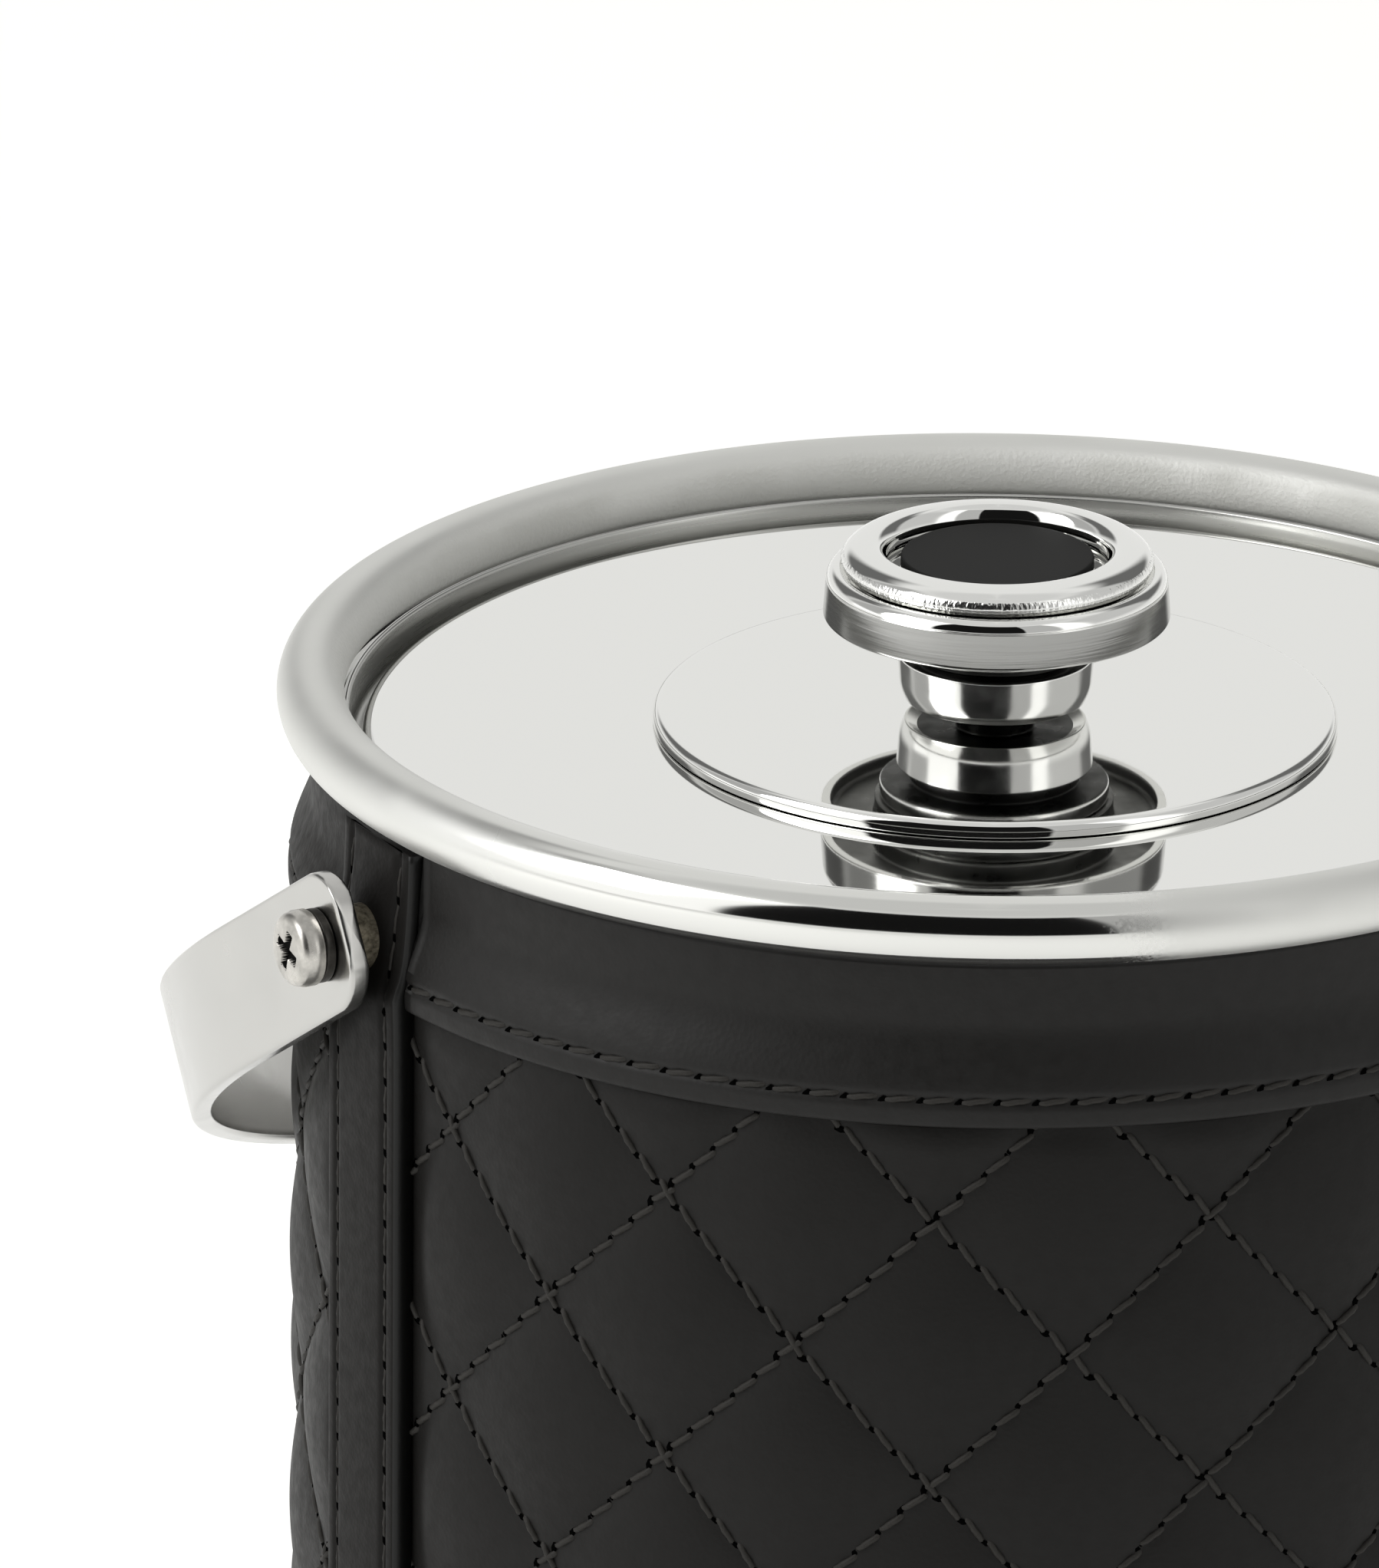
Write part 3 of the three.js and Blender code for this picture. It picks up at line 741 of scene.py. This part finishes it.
def bail_skin():
    """The strap handle: a rounded bar section carried down one leg, round a half circle and up the other leg.

    Its half width is W/2 - c + sqrt(c^2 - (c - s)^2) within s < c of each end, which rounds the ends.
    """
    centre_r = BAIL_OUTER - BAIL_THICKNESS / 2
    tip = np.array([0.0, 0.06, 0.2, 0.45, 0.8, 1.3, 2.0, 3.0, 4.0, 5.0, 8.0])
    leg = np.concatenate([tip, np.linspace(10, BAIL_LEG + BAIL_END, 12)])
    bend = np.linspace(0, np.pi, 150)[1:-1]
    from_end = np.concatenate([leg, np.full(len(bend), 50.0), leg[::-1]])
    x = np.concatenate([0 * leg + centre_r, centre_r * np.cos(bend), 0 * leg - centre_r])
    y = np.concatenate([leg - BAIL_END, BAIL_LEG + centre_r * np.sin(bend), leg[::-1] - BAIL_END])
    out = np.stack([x, np.maximum(y - BAIL_LEG, 0)], -1)
    out = out / np.linalg.norm(out, axis=1, keepdims=True)
    near = np.clip(BAIL_CORNER - from_end, 0, BAIL_CORNER)
    half_width = BAIL_WIDTH / 2 - BAIL_CORNER + np.sqrt(BAIL_CORNER**2 - near**2)
    blunt = np.clip(BAIL_EDGE - from_end, 0, BAIL_EDGE)
    shrink = BAIL_EDGE - np.sqrt(BAIL_EDGE**2 - blunt**2)
    turn = np.linspace(0, np.pi / 2, 6)
    quarter = np.stack([np.cos(turn), np.sin(turn)], -1) * BAIL_EDGE
    corner = np.array([BAIL_THICKNESS / 2 - BAIL_EDGE, BAIL_WIDTH / 2 - BAIL_EDGE])
    flat = np.array([BAIL_WIDTH / 2 - 1.2, 0, 1.2 - BAIL_WIDTH / 2])
    section = np.concatenate([
        corner + quarter,
        corner * [-1, 1] + quarter[::-1] * [-1, 1],
        np.stack([0 * flat - BAIL_THICKNESS / 2, flat], -1),
        -corner - quarter,
        corner * [1, -1] + quarter[::-1] * [1, -1],
        np.stack([0 * flat + BAIL_THICKNESS / 2, flat[::-1]], -1),
    ])
    thick = section[None, :, 0] * (1 - shrink / (BAIL_THICKNESS / 2))[:, None]
    wide = section[None, :, 1] / (BAIL_WIDTH / 2) * (half_width - shrink)[:, None]
    px = x[:, None] + out[:, :1] * thick
    py = y[:, None] + out[:, 1:] * thick
    down = np.array([0, np.cos(REST_DROP), -np.sin(REST_DROP)])
    wide_way = np.array([0, np.sin(REST_DROP), np.cos(REST_DROP)])
    return capped(px[..., None] * [1.0, 0, 0] + py[..., None] * down + wide[..., None] * wide_way + PIVOT)


def cross_recess(across, up):
    """How deep in the cross recess a point of the head lies, 0 to 1. Its arms are 4.3 by 1.24 mm."""
    a = np.abs(across * np.cos(CROSS_TILT) + up * np.sin(CROSS_TILT))
    b = np.abs(up * np.cos(CROSS_TILT) - across * np.sin(CROSS_TILT))
    arms = np.minimum(np.maximum(a / 2.15, b / 0.62), np.maximum(a / 0.62, b / 2.15))
    return 1 - smooth_step(arms, 0.9, 1.04)


def screw_head_skin(side):
    """A pan head with a cross recess: its height over (radius, angle) is a dome, less a cross-shaped pocket.

    The dome falls as 0.35 (r / R)^2 and is rounded at its edge, and the pocket is 1.25 (1 - r / 4) deep.
    """
    face = SCREW_HIGH[0]
    foot = face - SCREW_HEAD_HEIGHT
    r = np.concatenate([np.linspace(0.12, 3.2, 28), 3.2 + 0.8 * np.sin(np.linspace(0.1, np.pi / 2, 8))])
    angle = np.linspace(0, 2 * np.pi, 120, endpoint=False)
    grid_r, grid_a = np.meshgrid(r, angle, indexing="ij")
    rim = 0.8 - np.sqrt(np.maximum(0.64 - np.maximum(grid_r - 3.2, 0) ** 2, 0))
    pocket = cross_recess(grid_r * np.cos(grid_a), grid_r * np.sin(grid_a))
    height = face - 0.35 * (grid_r / SCREW_HEAD_R) ** 2 - rim - CROSS_DEPTH * pocket * (1 - 0.25 * grid_r)
    side_r = np.array([SCREW_HEAD_R, SCREW_HEAD_R, SCREW_HEAD_R - 0.2, 2.0, 2.0])[:, None]
    side_h = np.array([face - 1.6, foot + 0.25, foot, foot, SCREW_LOW[0] + 0.4])[:, None]
    rows_r = np.concatenate([grid_r, side_r + 0 * angle])
    rows_h = np.concatenate([height, side_h + 0 * angle])
    rows = np.stack([side * rows_h, side * rows_r * np.cos(angle), rows_r * np.sin(angle)], -1) + PIVOT
    tips = np.array([[side * (face - CROSS_DEPTH), 0, 0], [side * SCREW_LOW[0], 0, 0]]) + PIVOT
    return skin(rows[None], tips[None])


# ---------------------------------------------------------------- properties


def length_property(name, description, default_mm, least_mm, most_mm):
    """A length property, its default and limits given in millimetres."""
    return FloatProperty(
        name=name, description=description, default=default_mm * MM, min=least_mm * MM, max=most_mm * MM,
        precision=5, unit="LENGTH",
    )


def colour_property(name, description, default):
    """A colour property, its default given as sRGB hex."""
    return FloatVectorProperty(
        name=name, description=description, subtype="COLOR", size=4, min=0, max=1, default=linear(default)
    )


class BucketSizes(bpy.types.PropertyGroup):
    """Sizes of the sewing, and the fineness of the rim."""

    stitch_pitch: length_property("Stitch pitch", "From hole to hole on the bands and straps", 4.0, 2, 8)
    quilt_pitch: length_property("Quilting pitch", "From hole to hole on the diamonds", 3.45, 2, 8)
    stitch_slant: length_property("Stitch slant", "How far each stitch's end lies off its line", 0.3, 0, 1)
    thread: length_property("Thread thickness", "Diameter of the sewing thread", 0.75, 0.3, 1.5)
    rim_segments: IntProperty(
        name="Rim segments", description="Faces round the rim and the lid", default=256, min=48, max=512
    )


class BucketColours(bpy.types.PropertyGroup):
    """Colours of the finishes."""

    leather: colour_property("Leather", "Colour of the leather", "#171615")
    thread: colour_property("Thread", "Colour of the sewing thread", "#2d2b28")
    mirror: colour_property("Mirror steel", "Colour of the lid and knob", "#eeeeec")
    rim: colour_property("Rim steel", "Colour of the rim tube", "#dededb")
    handle: colour_property("Handle steel", "Colour of the strap handle", "#cac9c6")


# ---------------------------------------------------------------- operators

BORE = 2.8  # radius of the hole for the knob's screw through the lid, the plate and the knob


class ICEBUCKET_OT_cans(bpy.types.Operator):
    """Make the rim, the cans, the foam between them and the foot pad"""

    bl_idname = "icebucket.cans"
    bl_label = "Cans and rim"

    def execute(self, context):
        segments = context.scene.bucket_sizes.rim_segments
        around = np.linspace(0, 2 * np.pi, 56, endpoint=False)
        ring = np.stack([RIM_R + RIM_TUBE * np.cos(around), RIM_Z + RIM_TUBE * np.sin(around)], -1)
        rim = put("rim", [turned(ring, segments)], "bucket", ["rim"], ["rim_ring"])
        rim.visible_glossy = False  # keeps the lid clean right to its edge, as a studio's light tent does

        liner_low, liner_high = box_mm("inner_liner")
        ledge = LID_LOW[2] - 0.1
        liner = rounded([
            (0, liner_low[2], 0),
            (66.4, liner_low[2], 5),
            (66.4, ledge - 0.9, 0.3),
            (liner_high[0], ledge - 0.9, 0.4),
            (liner_high[0], liner_high[2], 0.3),
            (69.6, liner_high[2], 0.3),
            (69.6, ledge, 0.8),
            (65.5, ledge, 0.6),
            (65.5, liner_low[2] + 0.9, 4.4),
            (0, liner_low[2] + 0.9, 0),
        ])
        put_turned("liner", liner, 192, "bucket", "can", "inner_liner")

        pad_r, _, pad_top = box_mm("base_pad")[1]
        pad = ring_outline(0, pad_r, 0, pad_top, (0, 0.6, 0.4, 0))
        put_turned("foot_pad", pad, 128, "bucket", "felt", "base_pad")

        shell_low, shell_high = box_mm("outer_shell")
        shell = rounded([
            (0, shell_low[2], 0),
            (72, shell_low[2], 0.9),
            (72, shell_high[2], 0.3),
            (71, shell_high[2], 0.3),
            (71, shell_low[2] + 1, 0.4),
            (0, shell_low[2] + 1, 0),
        ])
        put_turned("shell", shell, 128, "bucket", "can", "outer_shell")
        for node in ("insulation_sleeve", "insulation_base", "lid_insulation"):
            finish_node(node, "foam")
        return {"FINISHED"}


class ICEBUCKET_OT_leather(bpy.types.Operator):
    """Make the quilted panels, the bands and the side straps"""

    bl_idname = "icebucket.leather"
    bl_label = "Leather"

    def execute(self, context):
        for half in FRONT_BACK:
            panel = put("quilting_" + half, [quilt_skin(half)], "bucket",
                        ["quilted_leather"], ["quilt_panel_" + half])
            leather = "plain_leather" if half == "front" else "strap_leather"
            for name, node, edge, end in (
                ("band_top_", "top_band_", TOP_BAND_LOW[2], TOP_BAND_HIGH[2]),
                ("band_foot_", "bottom_band_", FOOT_BAND_HIGH[2], FOOT_BAND_LOW[2]),
            ):
                band = band_skin(half, edge, end)
                put(name + half, [band], "bucket", [leather], [node + half])
        for name, side in LEFT_RIGHT:
            strap = put("strap_" + name, [strap_skin(side)], "bucket",
                        ["strap_leather", "leather_edge"], ["side_strap_" + name])
            x, y, _ = face_centres(strap)
            across = np.arctan2(y, side * x) * STRAP_LAY_R
            finish_faces(strap, np.abs(across) > STRAP_HALF - 0.3)
        return {"FINISHED"}


class ICEBUCKET_OT_sewing(bpy.types.Operator):
    """Make the stitches of the quilting, the bands and the side straps"""

    bl_idname = "icebucket.sewing"
    bl_label = "Sewing"

    def execute(self, context):
        sizes = context.scene.bucket_sizes
        pitch, quilt_pitch = sizes.stitch_pitch / MM, sizes.quilt_pitch / MM
        slant, thread = sizes.stitch_slant / MM, sizes.thread / MM
        how = (pitch, slant, thread)
        runs = {}
        for half in FRONT_BACK:
            quilting = quilt_stitches(half, quilt_pitch, slant, thread)
            runs["quilt_stitches_" + half] = quilting, "quilted_leather"
            runs["top_stitches_" + half] = band_stitches(half, TOP_BAND_LOW[2], 1, *how), "plain_leather"
            runs["foot_stitches_" + half] = band_stitches(half, FOOT_BAND_HIGH[2], -1, *how), "plain_leather"
        for name, side in LEFT_RIGHT:
            # The straps' stitches are pulled tight: straighter and thinner than the bands'
            runs["strap_stitches_" + name] = strap_stitches(side, pitch, 0.12, 0.6 * thread), "plain_leather"
        for name, (stitches, slot) in runs.items():
            put(name, stitches, "bucket", ["thread", "needle_hole"])
        return {"FINISHED"}


class ICEBUCKET_OT_handle(bpy.types.Operator):
    """Make the strap handle and the screws, washers and spacers that it turns on"""

    bl_idname = "icebucket.handle"
    bl_label = "Handle"

    def execute(self, context):
        put("bail", [bail_skin()], "handle", ["satin"], ["handle_strap"])
        for name, side in LEFT_RIGHT:
            screw = put("screw_" + name, [screw_head_skin(side)], "bucket",
                        ["nickel", "recess"], ["handle_screw_" + name])
            x, y, z = face_centres(screw) - PIVOT[:, None]
            # The faces inside the cross recess take the black painted shade
            in_cross = cross_recess(side * y, z) > 0.1
            finish_faces(screw, in_cross & (side * x > SCREW_HIGH[0] - 2.5) & (np.hypot(y, z) < 3))
            # Each washer takes the dark nickel of painted shade, for the shadow under the screw head
            for piece, node, bore, outer, fillets, finish in (
                ("washer_", "handle_washer_", 2.3, 4.0, (0.1, 0.2, 0.2, 0.1), "dull_nickel"),
                ("standoff_", "spacer_", 2.2, 3.7, (0.2, 0.3, 0.35, 0.2), "rough_nickel"),
            ):
                low, high = box_mm(node + "right")
                outline = ring_outline(bore, outer, low[0], high[0], fillets)
                ring = turned(outline, 64, "x", PIVOT, side)
                put(piece + name, [ring], "bucket", [finish], [node + name])
            finish_node("handle_nut_" + name, "nickel")
        return {"FINISHED"}


class ICEBUCKET_OT_lid(bpy.types.Operator):
    """Make the lid, its underside and its raised plate"""

    bl_idname = "icebucket.lid"
    bl_label = "Lid"

    def execute(self, context):
        segments = context.scene.bucket_sizes.rim_segments
        low, high = LID_LOW[2], LID_HIGH[2]
        top = rounded([
            (BORE, high - 1, 0.1),
            (67.2, high - 1, 0.8),
            (67.2, low, 0.1),
            (LID_HIGH[0], low, 0.3),
            (LID_HIGH[0], high, 1.7),
            (BORE, high, 0.1),
        ])
        put_turned("lid_sheet", top, segments, "lid", "lid_mirror", "lid_top")
        plate = ring_outline(BORE, PLATE_HIGH[0], PLATE_LOW[2], PLATE_HIGH[2], (0.1, 0.2, 1.0, 0.1))
        put_turned("lid_disc", plate, segments, "lid", "lid_mirror", "lid_plate")
        pan_low, pan_high = box_mm("lid_pan")
        pan = rounded([
            (0, pan_low[2], 0),
            (pan_high[0], pan_low[2], 2.5),
            (pan_high[0], pan_high[2], 0.3),
            (64, pan_high[2], 0.3),
            (64, pan_low[2] + 0.8, 1.8),
            (0, pan_low[2] + 0.8, 0),
        ])
        put_turned("lid_underside", pan, 192, "lid", "can", "lid_pan")
        return {"FINISHED"}


class ICEBUCKET_OT_knob(bpy.types.Operator):
    """Make the knob: its bowl, its dished head, its ring and its inset"""

    bl_idname = "icebucket.knob"
    bl_label = "Knob"

    def execute(self, context):
        foot = PLATE_HIGH[2] + 0.1
        lip = RIM_Z + 4.4
        flange = RIM_Z + 8.0
        bowl = rounded([
            (BORE, foot, 0.1),
            (4.2, foot, 0.1),
            (4.2, foot + 2.0, 0.3),
            (8.4, foot + 1.9, 0.1),
            (9.75, foot + 1.1, 0.18),
            (10.35, foot + 2.5, 5.0),
            (10.6, lip, 0.25),
            (9.3, lip + 0.35, 0.2),
            (9.2, flange - 1.9, 0.2),
            (12.4, flange - 1.7, 0.3),
            (12.4, flange, 0.2),
            (BORE, flange, 0.1),
        ])
        neck = put("knob_bowl", [turned(bowl, 160)], "lid",
                   ["turned_mirror", "dark_neck"], ["knob_collar"])
        # The bowl's post and underside, and its neck and flange above the lip, are painted shade
        radius, height = face_places(neck)
        shaded = ((radius < 8.45) & (height < foot + 2.3)) | ((radius < 12.3) & (height > lip + 0.3))
        finish_faces(neck, shaded)

        seat = HEAD_HIGH[2]
        head = rounded([
            (0, seat - 3.1, 0),
            (BORE, seat - 3.1, 0.1),
            (BORE, flange + 0.1, 0.1),
            (12.9, flange + 0.1, 0.2),
            (12.9, flange + 2.2, 0.3),
            (17.6, flange + 2.2, 0.4),
            (17.6, flange + 0.7, 0.2),
            (HEAD_HIGH[0], flange + 0.7, 0.25),
            (HEAD_HIGH[0] - 0.3, seat - 1.35, 0.1),
        ])
        sweep = np.radians(np.linspace(2, 88, 12))
        shoulder_r = 1.42
        shoulder = np.stack([np.cos(sweep), np.sin(sweep)], -1) * shoulder_r + [16.95, seat - shoulder_r]
        floor = seat - 0.22
        inside = [[16.9, seat - 0.03], [16.75, floor], [16.5, floor], [0, floor]]
        head = np.concatenate([head, shoulder, inside])
        dish = put("knob_dish", [turned(head, 224)], "lid",
                   ["mirror", "turned_wall", "unpolished"], ["knob_head"])
        # The outer wall keeps the lathe's rings, and the underside is rougher steel with painted shade
        radius, height = face_places(dish)
        wall = (radius > 18.3) & (height > flange + 0.9) & (height < seat - 1.45)
        under = (height < flange + 2.5) & (radius < 17.7)
        finish_faces(dish, wall + 2 * under)

        sweep = np.radians(np.linspace(0, 180, 48))
        bore, crown, rise = 11.95, 13.5, 1.9
        run = np.where(sweep < np.pi / 2, RING_HIGH[0] - crown, crown - bore)
        ring = np.stack([crown + run * np.cos(sweep), RING_HIGH[2] - rise + rise * np.sin(sweep)], -1)
        ring = np.concatenate([[[bore, RING_LOW[2]], [16.6, RING_LOW[2]]], ring])
        torus = put("knob_rim", [turned(ring, 224)], "lid",
                    ["mirror", "chattered"], ["knob_ring"])
        # The ring's foot shows a bright line where the tool chattered
        radius, height = face_places(torus)
        foot_line = (radius > 16.2) & (height < RING_HIGH[2] - 1.1)
        finish_faces(torus, foot_line)

        low, high = box_mm("knob_inset")
        inset = ring_outline(0, high[0], low[2], high[2], (0, 0.1, 0.3, 0))
        put_turned("knob_puck", inset, 128, "lid", "black_plastic", "knob_inset")
        for node in ("knob_screw", "knob_washer"):
            finish_node(node, "nickel")
        return {"FINISHED"}


# ---------------------------------------------------------------- stage

CAMERA_AZIMUTH = -29.491
CAMERA_ELEVATION = 19.765
CAMERA_DISTANCE = 1982.3
CAMERA_PAN = 0.948
CAMERA_TILT = -0.307
CAMERA_ROLL = -0.840
CAMERA_LENS = 422.7

# Azimuth from the camera, elevation, softness of the edges, all in degrees, and brightness
STUDIO_ZONES = (
    ((-180, 180), (64, 90), 6, 0.7),
    ((-158, -122), (12, 50), 6, 0.15),
    ((-118, -84), (10, 60), 6, 0.45),
    ((-110, -84), (-4, 9), 4, 1.3),
    ((-84, -43), (-4, 60), 3, 1.3),
    ((-43, 20), (1, 60), 1.5, 0.008),
    ((20, 45), (2, 60), 1.5, 0.5),
    ((45, 66), (0, 60), 3, 1.35),
    ((66, 121), (8, 60), 8, 0.6),
    ((121, 158), (12, 50), 6, 0.15),
)


def turn(vector, axis, degrees):
    """A vector turned about an axis by the right-hand rule."""
    return Matrix.Rotation(np.radians(degrees), 3, axis) @ vector


def direction(azimuth, elevation):
    """The way out from the bucket at an azimuth from the front (-Y) and an elevation, in degrees."""
    a, e = np.radians([azimuth, elevation])
    return Vector((np.sin(a) * np.cos(e), -np.cos(a) * np.cos(e), np.sin(e)))


def add_camera():
    """A long lens off to the front left, turned from the rim's centre by a pan, a tilt and a roll."""
    away = direction(CAMERA_AZIMUTH, CAMERA_ELEVATION)
    ahead = -away
    right = direction(CAMERA_AZIMUTH + 90, 0)
    up = right.cross(ahead)
    ahead, right = turn(ahead, up, CAMERA_PAN), turn(right, up, CAMERA_PAN)
    ahead, up = turn(ahead, right, CAMERA_TILT), turn(up, right, CAMERA_TILT)
    right, up = turn(right, ahead, CAMERA_ROLL), turn(up, ahead, CAMERA_ROLL)
    camera = bpy.data.objects.new("camera", bpy.data.cameras.new("camera"))
    camera.data.lens = CAMERA_LENS
    camera.data.sensor_width = 36
    camera.data.clip_end = 100
    camera.matrix_world = Matrix.Translation((away * CAMERA_DISTANCE + Vector((0, 0, RIM_Z))) * MM) @ Matrix(
        (right, up, -ahead)
    ).transposed().to_4x4()
    bpy.context.scene.collection.objects.link(camera)
    bpy.context.scene.camera = camera


def add_light(name, azimuth, elevation, distance, size, power):
    """A soft rectangular light aimed at the bucket. Its azimuth is from the camera's, and sizes in metres."""
    light = bpy.data.lights.new(name, "AREA")
    light.shape = "RECTANGLE"
    light.size, light.size_y = size
    light.energy = power
    lamp = bpy.data.objects.new(name, light)
    away = direction(CAMERA_AZIMUTH + azimuth, elevation) * distance
    lamp.location = Vector((0, 0, 0.1)) + away
    lamp.rotation_euler = (-away).to_track_quat("-Z", "Y").to_euler()
    bpy.context.scene.collection.objects.link(lamp)


def zone(tree, angle, low, high, soft):
    """1 where an angle in degrees lies between low and high, with soft edges."""
    sides = []
    for outside, inside in ((low - soft, low + soft), (high + soft, high - soft)):
        inputs = {0: angle, 1: outside, 2: inside}
        sides.append(add_node(tree, "ShaderNodeMapRange", inputs, interpolation_type="SMOOTHSTEP").outputs[0])
    return calculate(tree, "MULTIPLY", *sides)


def studio_world():
    """A white studio with unlit parts behind the camera, which polished steel shows as its dark bars."""
    world = bpy.data.worlds.new("studio")
    world.use_nodes = True
    tree = world.node_tree
    ahead = add_node(tree, "ShaderNodeTexCoord").outputs["Generated"]
    facing_camera = {"Vector": ahead, "Angle": np.radians(-CAMERA_AZIMUTH)}
    facing = add_node(tree, "ShaderNodeVectorRotate", facing_camera, rotation_type="Z_AXIS")
    x, y, z = add_node(tree, "ShaderNodeSeparateXYZ", {0: facing.outputs[0]}).outputs
    back = calculate(tree, "MULTIPLY", y, -1.0)
    azimuth = calculate(tree, "DEGREES", calculate(tree, "ARCTAN2", x, back))
    elevation = calculate(tree, "DEGREES", calculate(tree, "ARCSINE", z))
    tone = (0.86, 0.86, 0.845, 1)
    for side, height, soft, brightness in STUDIO_ZONES:
        across, up = zone(tree, azimuth, *side, soft), zone(tree, elevation, *height, soft)
        there = calculate(tree, "MULTIPLY", across, up)
        panel = (brightness, brightness, brightness * 0.985, 1)
        tone = add_node(tree, "ShaderNodeMix", {0: there, 6: tone, 7: panel}, data_type="RGBA").outputs[2]
    tree.links.new(tone, tree.nodes["Background"].inputs["Color"])
    return world


class ICEBUCKET_OT_stage(bpy.types.Operator):
    """Set the camera, the soft lights and the pale floor"""

    bl_idname = "icebucket.stage"
    bl_label = "Stage"

    def execute(self, context):
        add_camera()
        scene = context.scene
        scene.view_settings.view_transform = "Standard"
        scene.world = studio_world()
        mesh = bpy.data.meshes.new("floor")
        mesh.from_pydata([(-6, -6, 0), (6, -6, 0), (6, 6, 0), (-6, 6, 0)], [], [(0, 1, 2, 3)])
        floor = bpy.data.objects.new("floor", mesh)
        material, _, shader, _ = new_material("Pale floor", linear("#f4f4f2"), Roughness=0.9)
        shader.inputs["Emission Color"].default_value = (1, 1, 1, 1)
        shader.inputs["Emission Strength"].default_value = 0.34
        mesh.materials.append(material)
        scene.collection.objects.link(floor)
        add_light("key", -70, 40, 1.2, (0.6, 0.8), 6)
        return {"FINISHED"}


class ICEBUCKET_PT_panel(bpy.types.Panel):
    """Lists the ice bucket's steps, sizes and colours"""

    bl_idname = "ICEBUCKET_PT_panel"
    bl_label = "Ice Bucket"
    bl_space_type = "VIEW_3D"
    bl_region_type = "UI"
    bl_category = "Ice Bucket"

    def draw(self, context):
        for group in (context.scene.bucket_sizes, context.scene.bucket_colours):
            for name in group.__annotations__:
                self.layout.prop(group, name)
        for step in STEPS:
            self.layout.operator(step.bl_idname)


STEPS = (
    ICEBUCKET_OT_cans,
    ICEBUCKET_OT_leather,
    ICEBUCKET_OT_sewing,
    ICEBUCKET_OT_handle,
    ICEBUCKET_OT_lid,
    ICEBUCKET_OT_knob,
    ICEBUCKET_OT_stage,
)
CLASSES = (BucketSizes, BucketColours, *STEPS, ICEBUCKET_PT_panel)


def register():
    for cls in CLASSES:
        bpy.utils.register_class(cls)
    bpy.types.Scene.bucket_sizes = PointerProperty(type=BucketSizes)
    bpy.types.Scene.bucket_colours = PointerProperty(type=BucketColours)


def unregister():
    del bpy.types.Scene.bucket_colours
    del bpy.types.Scene.bucket_sizes
    for cls in reversed(CLASSES):
        bpy.utils.unregister_class(cls)


def main():
    register()
    make_finishes(bpy.context.scene.bucket_colours)
    for step in STEPS:
        getattr(bpy.ops.icebucket, step.bl_idname.split(".")[1])()


if __name__ == "__main__":
    main()
